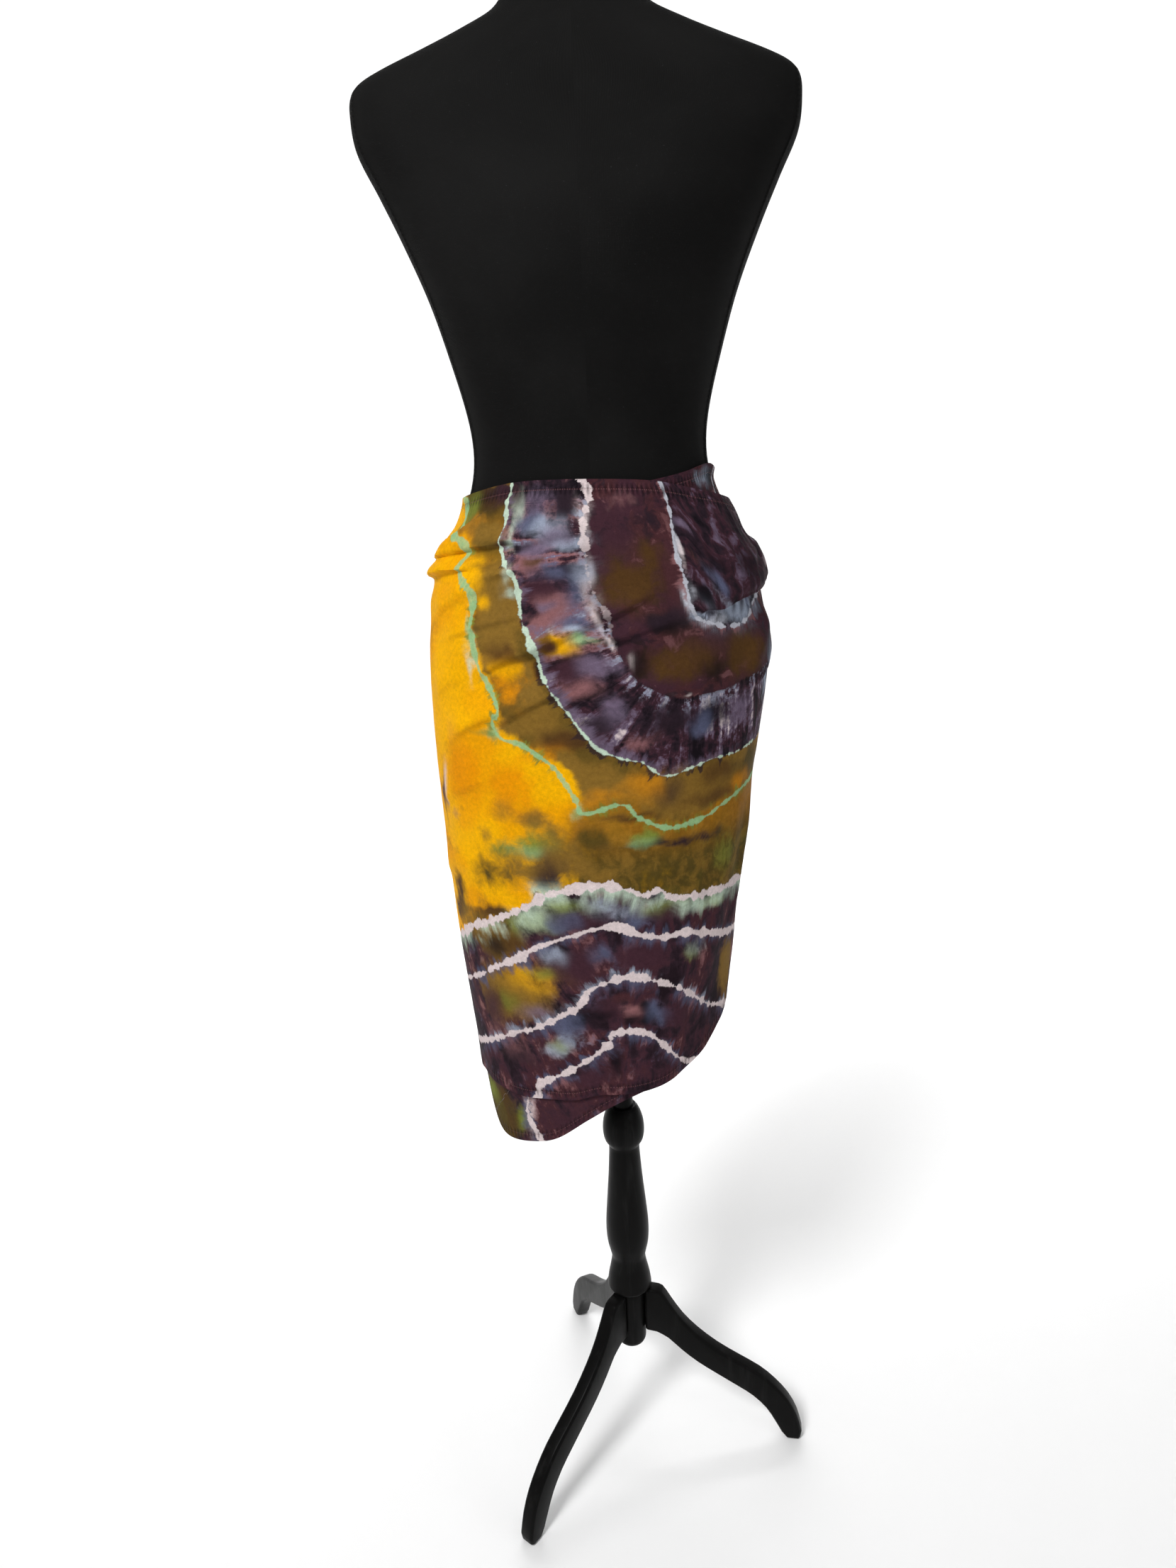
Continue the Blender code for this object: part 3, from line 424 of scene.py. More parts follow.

# Spots of another dye that has spread in a band; those over the hem band at the left waist are
# partly painted shade
Spot = namedtuple("Spot", "angle height half_angle half_height colour strength")
DYE_SPOTS = table(
    Spot,
    (-62, 0.985, 14, 0.060, GOLD, 0.5), (30, 0.876, 26, 0.020, OCHRE, 0.9),
    (70, 0.884, 16, 0.022, OLIVE, 0.8), (-52, 0.895, 10, 0.030, ORANGE, 0.8),
    (-30, 0.885, 9, 0.026, ORANGE, 0.7), (-34, 0.860, 5, 0.012, OCHRE, 0.5),
    (-22, 0.853, 6, 0.008, OCHRE, 0.7), (-44, 0.835, 5, 0.010, OCHRE, 0.5),
    (-24, 0.829, 8, 0.012, GREEN, 0.7), (-12, 0.812, 9, 0.018, OCHRE, 0.9),
    (-26, 0.820, 6, 0.006, TEAL, 0.35), (-36, 0.818, 6, 0.008, GREEN, 0.6),
    (-17, 0.838, 4, 0.010, OCHRE, 0.6), (-19, 0.802, 6, 0.013, DARK_PLUM, 0.8),
    (-30, 0.800, 12, 0.016, OCHRE, 0.7), (-44, 0.788, 10, 0.018, OLIVE, 0.6),
    (-66, 0.760, 6, 0.024, AMBER, 0.8), (-70, 0.740, 5, 0.014, DARK_PLUM, 0.7),
    (-52, 0.745, 6, 0.010, AMBER, 0.8), (14, 0.830, 5, 0.008, GREEN, 0.9),
    (12, 0.824, 6, 0.005, TEAL, 0.35), (28, 0.824, 8, 0.005, DARK_PLUM, 0.5),
    (44, 0.826, 7, 0.006, DARK_PLUM, 0.5), (-3, 0.832, 4, 0.014, OLIVE, 0.7),
    (52, 0.800, 8, 0.020, GREEN, 0.4), (10, 0.852, 10, 0.005, AMBER, 0.7),
    (42, 0.862, 12, 0.007, AMBER, 0.7), (-66, 0.875, 2.5, 0.018, PALE, 0.7),
    (-70, 0.860, 3, 0.030, MAROON, 0.7), (-62, 0.845, 4, 0.008, DUSTY_PINK, 0.5),
    # The hem band above the roll at the left waist: its olive and amber dye, laid darker and with
    # ink over it as painted shade of the roll that overhangs it
    (-54, 1.150, 16, 0.013, OLIVE, 1.0), (-50, 1.154, 14, 0.010, AMBER, 1.0),
    (-48, 1.154, 15, 0.010, INK, 0.45), (-60, 1.148, 5, 0.010, GREEN, 0.5),
    (-40, 1.160, 9, 0.006, DARK_PLUM, 0.8), (-38, 1.156, 7, 0.008, PLUM, 0.7),
    (-62, 1.140, 5, 0.012, GREEN, 0.5), (-46, 1.085, 8, 0.018, GOLD, 0.8),
    (-44, 1.122, 8, 0.011, OCHRE, 1.0), (-42, 1.108, 6, 0.008, OLIVE, 0.5),
    (-34, 1.112, 4, 0.003, DARK_PLUM, 0.8), (-40, 1.092, 7, 0.003, AMBER, 0.6),
    (-36, 1.075, 6, 0.020, OCHRE, 0.9), (-34, 1.040, 6, 0.024, OCHRE, 0.9),
    (-40, 1.060, 2.5, 0.006, GOLD, 0.8), (-30, 1.012, 5, 0.012, AMBER, 0.7),
    (-29, 0.984, 8, 0.018, ORANGE, 0.5), (-30, 1.000, 6, 0.008, GOLD, 0.6),
    (-20, 0.948, 8, 0.016, OCHRE, 0.9), (-12, 0.930, 6, 0.010, AMBER, 0.8),
    (-18, 0.915, 6, 0.010, ORANGE, 0.5), (-2, 0.895, 6, 0.014, OCHRE, 0.9),
    (14, 0.884, 5, 0.014, ORANGE, 0.4), (23, 0.876, 6, 0.012, DARK_PLUM, 0.6),
    (44, 0.885, 8, 0.010, AMBER, 0.7), (60, 0.870, 7, 0.008, ORANGE, 0.5),
    (-31, 1.132, 2, 0.026, MINT, 0.35), (-29, 1.086, 2, 0.012, MINT, 0.45),
    (-27, 1.066, 2, 0.005, MINT, 0.6), (-43, 1.008, 2.5, 0.020, MINT, 0.55),
    (-46, 1.036, 2, 0.016, TEAL, 0.5), (-36, 0.938, 3.5, 0.009, TEAL, 0.7),
    (-40, 0.936, 4, 0.004, GREEN, 0.6), (-8, 0.862, 2, 0.009, TEAL, 0.5),
    (-2, 1.076, 1.6, 0.024, PALE, 0.45), (1, 1.050, 1.6, 0.016, PALE, 0.5),
    (-4, 1.088, 4, 0.010, ICE, 0.6), (-22, 1.150, 7, 0.012, LILAC, 0.6),
    (-24, 1.132, 6, 0.008, BLUE_GREY, 0.7), (-10, 1.148, 5, 0.018, DARK_PLUM, 0.95),
    (-17, 1.126, 7, 0.009, ICE, 0.5), (-3, 1.128, 2.2, 0.024, PALE, 0.35),
    (-8, 1.112, 6, 0.006, ICE, 0.7), (-13, 1.118, 5, 0.008, LILAC, 0.7),
    (-20, 1.108, 6, 0.006, LILAC, 0.7), (-26, 1.110, 3, 0.004, INK, 0.9),
    (-22, 1.094, 5, 0.007, DUSTY_PINK, 0.9), (-19, 1.098, 2.5, 0.003, AMBER, 0.8),
    (-12, 1.088, 6, 0.008, BLUE_GREY, 0.8), (-8, 1.090, 3, 0.006, DARK_PLUM, 0.7),
    (-18, 1.070, 7, 0.012, PLUM, 0.9), (-13, 1.058, 6, 0.008, DUSTY_PINK, 0.9),
    (-6, 1.068, 4, 0.014, BLUE_GREY, 0.8), (-16, 1.044, 7, 0.007, DUSTY_PINK, 0.9),
    (-16, 1.056, 3, 0.004, LILAC, 0.8), (2, 1.036, 1.6, 0.012, PALE, 0.5),
    (-6, 1.040, 5, 0.006, BLUE_GREY, 0.7), (-12, 1.022, 5.5, 0.0085, GOLD, 0.95),
    (-8, 1.014, 4, 0.005, GOLD, 0.6), (-4, 1.024, 3, 0.006, TEAL, 0.6),
    (-6, 1.034, 4, 0.003, ICE, 0.6), (-16, 1.022, 3, 0.009, INK, 0.7),
    (-15, 1.020, 2.5, 0.006, MAROON, 0.8), (-17, 0.998, 3, 0.010, INK, 0.8),
    (5, 1.022, 4, 0.004, INK, 0.8), (3, 1.021, 1.0, 0.006, PALE, 0.9),
    (9, 1.002, 1.0, 0.006, PALE, 0.5), (27, 0.968, 2.0, 0.002, PALE, 0.6),
    (-8, 0.998, 6, 0.012, PLUM, 0.8), (0, 0.998, 5, 0.012, LILAC, 0.7),
    (-5, 0.978, 6, 0.008, DUSTY_PINK, 0.7), (9, 1.148, 8, 0.012, DUSTY_PINK, 0.35),
    (20, 1.128, 5, 0.008, DARK_PLUM, 0.7), (10, 1.112, 7, 0.012, PLUM, 0.8),
    (10, 1.072, 9, 0.022, AMBER, 0.9), (19, 1.096, 4, 0.014, AMBER, 0.8),
    (25, 1.070, 4, 0.030, MAROON, 0.7), (20, 1.040, 9, 0.008, DARK_PLUM, 0.9),
    (26, 1.030, 8, 0.006, INK, 0.7), (36, 1.014, 9, 0.010, PLUM, 0.8),
    (26, 1.000, 12, 0.020, AMBER, 0.85), (54, 0.998, 10, 0.022, AMBER, 0.85),
    (38, 0.988, 5, 0.014, INK, 0.6), (12, 1.000, 4, 0.016, INK, 0.6),
    (22, 0.944, 9, 0.016, DARK_PLUM, 0.8), (40, 0.946, 7, 0.016, INK, 0.7),
    (34, 0.935, 4, 0.014, BLUE_GREY, 0.7), (54, 0.945, 6, 0.016, LILAC, 0.6),
    (4, 0.956, 6, 0.014, LILAC, 0.7), (-2, 0.944, 5, 0.010, DARK_PLUM, 0.7),
    (12, 0.925, 5, 0.008, DUSTY_PINK, 0.6), (34, 1.128, 4, 0.006, LILAC, 0.7),
    (44, 1.118, 7, 0.008, INK, 0.6), (36, 1.100, 4, 0.008, AMBER, 0.35),
    (43, 1.096, 3.5, 0.010, BLUE_GREY, 0.8), (46, 1.080, 4, 0.005, ICE, 0.5),
    (37, 1.066, 4, 0.008, INK, 0.9), (60, 1.120, 7, 0.018, INK, 0.5),
    (52, 1.043, 13, 0.015, ICE, 0.9), (45, 1.048, 1.0, 0.010, DARK_PLUM, 0.8),
    (50, 1.050, 1.0, 0.011, DARK_PLUM, 0.8), (55, 1.052, 1.2, 0.011, DARK_PLUM, 0.8),
    (60, 1.050, 1.6, 0.012, BLUE_GREY, 0.8), (84, 1.120, 4, 0.010, PALE, 0.5),
    (76, 0.975, 5, 0.030, ICE, 0.8), (72, 1.000, 3, 0.020, DARK_PLUM, 0.7),
    (-46, 0.722, 13, 0.018, OCHRE, 0.9), (-44, 0.714, 8, 0.013, INK, 0.9),
    (-34, 0.722, 5, 0.012, AMBER, 0.8), (-24, 0.745, 6, 0.012, GREEN, 0.6),
    (-12, 0.764, 9, 0.008, GREEN, 0.7), (22, 0.758, 10, 0.007, GREEN, 0.7),
    (48, 0.750, 8, 0.007, GREEN, 0.6), (-10, 0.748, 8, 0.010, PLUM, 0.9),
    (23, 0.750, 8, 0.010, PLUM, 0.9), (-18, 0.790, 5, 0.012, DARK_PLUM, 0.9),
    (8, 0.800, 16, 0.010, OCHRE, 0.5), (26, 0.822, 24, 0.004, DARK_PLUM, 0.5),
    (6, 0.758, 7, 0.010, ICE, 0.5), (-19, 0.776, 6, 0.010, MINT, 0.6),
    (-3, 0.768, 5, 0.010, ICE, 0.5), (34, 0.756, 5, 0.010, MINT, 0.5),
    (-40, 0.750, 8, 0.008, AMBER, 0.8), (-60, 0.735, 10, 0.016, OCHRE, 0.7),
    (-26, 0.750, 7, 0.016, MINT, 0.45), (-34, 0.742, 5, 0.010, GREEN, 0.5),
    (-18, 0.740, 4, 0.006, BLUE_GREY, 0.6), (-44, 0.602, 12, 0.018, DUSTY_PINK, 0.5),
    (31, 1.056, 1.8, 0.014, CHALK, 0.9), (29.5, 1.108, 1.4, 0.014, CHALK, 0.9),
    (40, 1.033, 5, 0.004, CHALK, 0.7), (34, 1.040, 3, 0.004, ICE, 0.8),
    (30, 1.098, 1.2, 0.012, PALE, 0.7), (44, 0.752, 8, 0.010, MINT, 0.4),
    (-14, 0.748, 4, 0.009, BLUE_GREY, 0.6), (10, 0.744, 5, 0.008, BLUE_GREY, 0.7),
    (-40, 0.662, 17, 0.030, OCHRE, 0.9), (-30, 0.682, 9, 0.016, GOLD, 0.45),
    (-44, 0.650, 7, 0.010, AMBER, 0.6), (-24, 0.690, 5, 0.006, GREEN, 0.6),
    (-40, 0.650, 4, 0.010, GREEN, 0.5), (66, 0.660, 8, 0.036, OCHRE, 0.9),
    (-50, 0.640, 6, 0.018, PLUM, 0.8), (-13, 0.700, 9, 0.018, PLUM, 0.9),
    (14, 0.706, 11, 0.018, PLUM, 0.9), (-20, 0.712, 4, 0.010, ICE, 0.5),
    (38, 0.708, 5, 0.010, ICE, 0.45), (-2, 0.715, 4, 0.012, BLUE_GREY, 0.5),
    (36, 0.702, 5, 0.013, GREEN, 0.4), (-2, 0.652, 5, 0.012, PLUM, 0.8),
    (-16, 0.634, 6, 0.016, BLUE_GREY, 0.7), (-28, 0.640, 6, 0.008, LILAC, 0.6),
    (-22, 0.596, 6, 0.008, ICE, 0.5), (-10, 0.640, 4, 0.010, INK, 0.8),
    (14, 0.640, 4, 0.010, INK, 0.7), (22, 0.634, 4, 0.010, BLUE_GREY, 0.7),
    (-16, 0.610, 5, 0.010, ICE, 0.4), (4, 0.662, 4, 0.006, MAROON, 0.9),
    (8, 0.648, 4, 0.006, DUSTY_PINK, 0.8), (-4, 0.646, 3, 0.006, INK, 0.9),
    (12, 0.652, 2.5, 0.005, INK, 0.9), (30, 0.632, 6, 0.014, PLUM, 0.8),
    (18, 0.648, 4, 0.010, BLUE_GREY, 0.7), (6, 0.636, 4, 0.007, INK, 0.7),
    (-20, 0.604, 5, 0.008, GREEN, 0.4), (-40, 0.585, 8, 0.012, DARK_PLUM, 0.6),
    (0, 0.590, 4, 0.018, INK, 0.7), (-10, 0.570, 7, 0.012, PLUM, 0.8),
    (24, 0.575, 7, 0.012, PLUM, 0.7),
)
INNER_SPOTS = table(
    Spot,
    (-62, 0.500, 15, 0.034, OLIVE, 0.95), (-66, 0.520, 5, 0.012, GREEN, 0.8),
    (-50, 0.490, 5, 0.014, AMBER, 0.6), (-44, 0.505, 3, 0.018, GREEN, 0.6),
    (-20, 0.512, 9, 0.014, PLUM, 0.8), (-38, 0.512, 3, 0.024, PALE, 0.55),
    (-34, 0.480, 2, 0.012, PALE, 0.55), (-54, 0.515, 2, 0.026, AMBER, 0.7),
    (60, 1.162, 7, 0.010, ICE, 0.6), (68, 1.160, 4, 0.010, INK, 0.7),
    (88, 1.160, 10, 0.014, DUSTY_PINK, 0.6), (90, 1.148, 10, 0.006, OCHRE, 0.5),
)


def curve(rows, position):
    """Every column of a table at each position, on a smooth curve through its rows."""
    keys = np.array([row[0] for row in rows], float)
    values = np.array([row[1:] for row in rows], float)
    slopes = np.empty_like(values)
    slopes[0] = (values[1] - values[0]) / (keys[1] - keys[0])
    slopes[-1] = (values[-1] - values[-2]) / (keys[-1] - keys[-2])
    slopes[1:-1] = (values[2:] - values[:-2]) / (keys[2:] - keys[:-2])[:, None]
    position = np.clip(np.asarray(position, float), keys[0], keys[-1])
    index = np.clip(np.searchsorted(keys, position, side="right") - 1, 0, len(keys) - 2)
    step = (keys[index + 1] - keys[index])[..., None]
    t = (position - keys[index])[..., None] / step
    return (
        (2 * t**3 - 3 * t**2 + 1) * values[index]
        + (t**3 - 2 * t**2 + t) * slopes[index] * step
        + (3 * t**2 - 2 * t**3) * values[index + 1]
        + (t**3 - t**2) * slopes[index + 1] * step
    )


def columns(rows, position):
    """The same as curve, as one array for each column."""
    return np.moveaxis(curve(rows, position), -1, 0)


def smooth(low, high, value):
    """0 at low, 1 at high, with a soft start and end."""
    t = np.clip((value - low) / (high - low), 0.0, 1.0)
    return t * t * (3 - 2 * t)


def oval(angle, left, right, front, back, squareness, outwards=0.0):
    """Points of an uneven oval at angles round it, moved outwards along its normal."""
    turn = np.radians(angle)
    side = np.sign(np.sin(turn)) * np.abs(np.sin(turn)) ** (2 / squareness)
    face = np.sign(np.cos(turn)) * np.abs(np.cos(turn)) ** (2 / squareness)
    width = np.where(side > 0, right, left)
    depth = np.where(face > 0, front, back)
    normal_x, normal_y = side / width, face / depth
    scale = outwards / np.hypot(normal_x, normal_y)
    x = AXIS_X + FORM_OFFSET_X + width * side + normal_x * scale
    y = AXIS_Y - (depth * face + normal_y * scale)
    return x, y


def cloth_surface(angle, height, outwards):
    """Points of the cloth's base surface, moved outwards."""
    depth = FLUTE_DEPTH * smooth(FLUTE_TOP, FLUTE_BOTTOM, height)
    waves = depth * (1 + np.sin(np.radians(FLUTES * angle + FLUTE_TURN))) / 2
    x, y = oval(angle, *columns(CLOTH_SECTIONS, height), CLOTH_SQUARENESS, outwards + waves)
    return np.stack([x, y, height], axis=-1)


def along_and_across(line, angle, height):
    """The share of the way along a roll or crease, and how far above it, at each place."""
    along_x = (line.to_angle - line.angle) * ARC_PER_DEGREE
    along_z = line.to_height - line.height
    length = np.hypot(along_x, along_z)
    x = (angle - line.angle) * ARC_PER_DEGREE
    z = height - line.height
    share = (x * along_x + z * along_z) / length**2
    side = 1 if along_x >= 0 else -1
    return share, side * (z * along_x - x * along_z) / length


def roll_lift(rolls, angle, height):
    """How far the large rolls stand out."""
    total = np.zeros_like(height)
    for roll in rolls:
        share, across = along_and_across(roll, angle, height)
        start = smooth(-ROLL_FADE_PAST, ROLL_FADE_WITHIN, share)
        end = smooth(1 + ROLL_FADE_PAST, 1 - ROLL_FADE_WITHIN, share)
        total += roll.rise * start * end * np.exp(-((across / roll.half_width) ** 2))
    return total


def crease_lift(creases, angle, height):
    """How far the creases stand out or sink in."""
    total = np.zeros_like(height)
    for crease in creases:
        share, across = along_and_across(crease, angle, height)
        across = across - crease.bow * 4 * share * (1 - share)
        width = np.where(across < 0, crease.below, crease.above)
        start = smooth(-CREASE_FADE_PAST, CREASE_FADE_WITHIN, share)
        end = smooth(1 + CREASE_FADE_PAST, 1 - CREASE_FADE_WITHIN, share)
        total += crease.rise * start * end * np.exp(-((across / width) ** 2))
    return total


def hem_sway(angle, height, hem, out):
    """How far the free hem stands away in slow waves."""
    (low,) = columns(hem, angle)
    near = smooth(low + SWAY_HEIGHT, low, height)
    waves = 0.55 + 0.30 * np.sin(np.radians(7 * angle + 40))
    waves = waves + 0.15 * np.sin(np.radians(17 * angle + 10))
    return out * near**1.5 * waves


def flare_lift(flare, angle, height):
    """How far a flare stands out."""
    rise = flare.out * smooth(flare.base, flare.tip, height)
    return rise * smooth(flare.start, flare.full, angle)


def fine_wrinkles(angle, height, depth):
    """Slight unevenness of hung cloth, from a few crossed slow waves."""
    x = angle * ARC_PER_DEGREE
    total = np.sin(61 * x + 23 * height + 0.4) * np.sin(37 * height - 19 * x + 1.3)
    total += 0.6 * np.sin(118 * x - 71 * height + 2.1) * np.sin(83 * height + 47 * x)
    total += 0.35 * np.sin(211 * x + 163 * height) * np.sin(149 * height - 97 * x + 0.8)
    return depth * total


def between_seams(angle, reach):
    """1 across the back, and 0 at its two seams."""
    right = smooth(RIGHT_SEAM_ANGLE, RIGHT_SEAM_ANGLE + reach, angle)
    return right * smooth(LEFT_SEAM_ANGLE, LEFT_SEAM_ANGLE - reach, angle)


def back_lift(angle, height):
    """The back, which carries the neighbours' flare and rolls on."""
    flare = flare_lift(CORNER_FLARE, angle, height)
    flare = flare * smooth(CORNER_END_ANGLE, RIGHT_SEAM_ANGLE, angle)
    near = smooth(LEFT_SEAM_ANGLE - ROLL_CARRY, LEFT_SEAM_ANGLE, angle)
    front = roll_lift(FRONT_ROLLS, angle - 360, height)
    front += crease_lift(FRONT_CREASES, angle - 360, height)
    creases = crease_lift(BACK_CREASES, angle, height) * between_seams(angle, CREASE_FADE)
    sway = hem_sway(angle, height, BACK_HEM, BACK_SWAY) * between_seams(angle, SWAY_FADE)
    return flare + front * near + roll_lift(BACK_ROLLS, angle, height) + creases + sway


def outer_lift(angle, height):
    """The outer stretch on the inner one, with its rolls and creases."""
    lift = (SOLID_WALL + LAYER_GAP) * smooth(CLIMB_START, CLIMB_END, angle)
    lift = lift + flare_lift(TUCK_FLARE, angle, height)
    lift = lift + roll_lift(FRONT_ROLLS, angle, height)
    creases = crease_lift(FRONT_CREASES + [HIP_STEP], angle, height)
    for middle in PLEAT_ANGLES:
        spread = np.exp(-(((angle - middle) / PLEAT_HALF_ANGLE) ** 2))
        creases = creases + PLEAT_RISE * spread * smooth(*PLEAT_HEIGHTS, height)
    sway = hem_sway(angle, height, OUTER_HEM, FRONT_SWAY)
    sway = sway * smooth(OUTER_START_ANGLE, OUTER_START_ANGLE + CREASE_FADE, angle)
    return lift + creases + sway


def sheet_grid(start, end, size, hem, top):
    """Angles and heights of a plain grid between two angles, a hem and a top edge."""
    angles = np.linspace(start, end, size[0])
    (low,), (high,) = columns(hem, angles), columns(top, angles)
    angle = np.repeat(angles[:, None], size[1], axis=1)
    height = low[:, None] + (high - low)[:, None] * np.linspace(0, 1, size[1])[None, :]
    return angle, height


def pouch_path(angle, hem, top):
    """Heights, lifts and unrolled heights up one column of the outer stretch."""
    lip, fold, fullness, ear = (float(v) for v in columns(HIP_POUCH, angle))
    folded = float(smooth(FOLD_TIP_ANGLE, FOLD_FULL_ANGLE, angle))
    half_turn = np.linspace(0, pi, 7)
    flat_low, flat_high = lip - LIP_BAND, lip + LIP_BAND
    # The hanging cloth's rows are closer in its upper third, where it is creased
    lower = np.concatenate([np.linspace(0, 0.66, 70)[:-1], np.linspace(0.66, 1, 78)])
    upper = np.linspace(0, 1, 44)
    under_top = lip + fold
    # Straight down, as the cloth lies where there is no fold
    straight_z = np.concatenate(
        [
            hem + (flat_low - hem) * lower,
            np.linspace(flat_low, flat_high, 22)[1:-1],
            flat_high + (top - flat_high) * upper,
        ]
    )

    def swell(z):
        rounded, eared = columns(POUCH_SWELL, np.clip((z - lip) / (top - lip), 0, 1))
        return fullness * (rounded + (eared - rounded) * ear)

    straight_out = np.where(straight_z > lip, swell(straight_z), 0.0)
    straight_out = straight_out * smooth(lip - 0.010, lip + 0.014, straight_z)
    # Up under the pouch, back down to the lip, round it and up to the top edge
    lip_out = float(swell(np.array([lip]))[0])
    under_z = hem + (under_top - hem) * lower
    turn_z = under_top + FOLD_TURN / 2 * np.sin(half_turn)
    turn_out = FOLD_TURN / 2 * (1 - np.cos(half_turn))
    down = np.linspace(0, 1, 8)[1:-1]
    down_z = under_top + (lip - under_top) * down
    down_out = FOLD_TURN + (lip_out * LIP_BACK - FOLD_TURN) * down**1.6
    round_z = lip - LIP_SINK * np.sin(half_turn)
    round_out = lip_out * (LIP_BACK + (1 - LIP_BACK) * (1 - np.cos(half_turn)) / 2)
    up_z = lip + (top - lip) * upper
    folded_z = np.concatenate([under_z, turn_z, down_z, round_z, up_z])
    folded_out = np.concatenate([0 * under_z, turn_out, down_out, round_out, swell(up_z)])
    unrolled_z = np.concatenate(
        [under_z, turn_z, 2 * under_top - down_z, 0 * round_z + lip + 2 * fold, up_z + 2 * fold]
    )
    height = straight_z + (folded_z - straight_z) * folded
    out = straight_out + (folded_out - straight_out) * folded
    return height, out, straight_z + (unrolled_z - straight_z) * folded


def outer_grid(angles):
    """The outer stretch's angles, heights, lifts and unrolled heights, with its pouch."""
    (low,), (high,) = columns(OUTER_HEM, angles), columns(OUTER_TOP, angles)
    paths = [pouch_path(*ends) for ends in zip(angles, low, high)]
    height, out, unrolled = (np.array(column) for column in zip(*paths))
    angle = np.repeat(angles[:, None], height.shape[1], axis=1)
    on_pouch = smooth(0.001, 0.006, out)
    lift = outer_lift(angle, height) + out
    lift = lift + on_pouch * crease_lift(POUCH_CREASES, angle, height)
    return angle, height, lift, unrolled


def dye_place(angle, height):
    """The angle and height on the front whose dye shows at a place of the unrolled cloth.

    The cloth was folded at the left side before it was dyed, and the dye went through unevenly.
    """
    mirrored = 2 * DYE_FOLD_ANGLE - angle
    place = np.where(angle < DYE_FOLD_ANGLE, mirrored, angle)
    place = np.where(angle < DYE_FOLD_BACK_ANGLE, angle + 360, place)
    past_fold = smooth(0, 22, DYE_FOLD_ANGLE - angle) * smooth(0, 22, angle - DYE_FOLD_BACK_ANGLE)
    sideways = 7.0 * np.sin(27 * height + 2.2) + 4.0 * np.sin(0.07 * angle + 11 * height)
    upwards = 0.026 * np.sin(0.052 * angle + 0.2) + 0.010 * np.sin(0.17 * angle + 9 * height)
    return place + past_fold * sideways, height + past_fold * upwards


def line_points(line):
    """A dye line's points, smoothed, on the unrolled cloth."""
    rows = [(index, *point) for index, point in enumerate(line)]
    angle, height = columns(rows, np.linspace(0, len(line) - 1, 5 * len(line)))
    return np.stack([angle * ARC_PER_DEGREE, height], axis=-1)


def line_fields(line, corner, x, z):
    """The distance from a dye line, positive on its corner's side, and the place along it."""
    points = line_points(line)
    nearest = np.full(x.shape, 9.0)
    along = np.zeros(x.shape)
    gone = 0.0
    for (ax, az), (bx, bz) in zip(points, points[1:]):
        dx, dz = bx - ax, bz - az
        length = np.hypot(dx, dz)
        share = np.clip(((x - ax) * dx + (z - az) * dz) / (length**2 + 1e-12), 0, 1)
        away = np.hypot(x - ax - dx * share, z - az - dz * share)
        along = np.where(away < nearest, gone + share * length, along)
        nearest = np.minimum(nearest, away)
        gone += length
    closed = [*points, *((p.angle * ARC_PER_DEGREE, p.height) for p in corner)]
    inside = np.zeros(x.shape, bool)
    for (ax, az), (bx, bz) in zip(closed, [*closed[1:], closed[0]]):
        crosses = (az > z) != (bz > z)
        reach = ax + (z - az) * (bx - ax) / (bz - az if bz != az else 1e-12)
        inside ^= crosses & (x < reach)
    return np.where(inside, nearest, -nearest), along


def dye_fields(angle, height, inner=False):
    """Each dye line's distance and place along it, and the spots' colours."""
    place, height = dye_place(angle, height)
    x = place * ARC_PER_DEGREE
    upper_lines = INNER_UPPER_LINES if inner else UPPER_LINES
    lower_lines = INNER_LOWER_LINES if inner else LOWER_LINES
    upper = [line_fields(line, UPPER_CORNER, x, height) for line in upper_lines]
    lower = [line_fields(line, LOWER_CORNER, x, height) for line in lower_lines]
    colour = np.zeros((*x.shape, 3))
    cover = np.zeros(x.shape)
    blown = place + 1.8 * np.sin(67 * height + 0.11 * place) * np.sin(0.31 * place + 31 * height)
    blown = blown + 0.6 * np.sin(0.83 * place + 151 * height)
    raised = height + 0.0028 * np.sin(0.23 * place + 43 * height) * np.sin(0.13 * place + 2)
    raised = raised + 0.0010 * np.sin(0.67 * place - 101 * height)
    for spot in DYE_SPOTS + (INNER_SPOTS if inner else []):
        away = ((blown - spot.angle) / spot.half_angle) ** 2
        away += ((raised - spot.height) / spot.half_height) ** 2
        share = spot.strength * np.exp(-(away**1.3) * 0.8)
        colour = colour * (1 - share[..., None]) + np.array(spot.colour) * share[..., None]
        cover = cover + share - cover * share
    colour = colour / np.maximum(cover, 1e-4)[..., None]
    return {
        "upper_lines": np.stack([away for away, _ in upper], axis=-1),
        "upper_along": np.stack([along for _, along in upper], axis=-1),
        "lower_lines": np.stack([away for away, _ in lower], axis=-1),
        "lower_along": np.stack([along for _, along in lower], axis=-1),
        "dye_spots": np.concatenate([colour, cover[..., None]], axis=-1),
    }


def edge_fields(angle, height, hem, top, ends):
    """The distance from the nearest hemmed edge, and the place along it.

    The top edge's and the ends' places start at other numbers, so their puckers differ.
    """
    (low,), (high,) = columns(hem, angle[:, 0]), columns(top, angle[:, 0])
    x = angle * ARC_PER_DEGREE
    distance = height - low[:, None]
    along = x.copy()
    from_top = high[:, None] - height
    along = np.where(from_top < distance, x + 3.0, along)
    distance = np.minimum(distance, from_top)
    for end in ends:
        from_end = np.abs(x - end * ARC_PER_DEGREE)
        along = np.where(from_end < distance, height + 7.0, along)
        distance = np.minimum(distance, from_end)
    return np.stack([along, np.maximum(distance, 0)], axis=-1)


def deselect_all():
    """Nothing selected, so an operator acts only on what is then chosen."""
    if bpy.context.object and bpy.context.object.mode != "OBJECT":
        bpy.ops.object.mode_set(mode="OBJECT")
    bpy.ops.object.select_all(action="DESELECT")


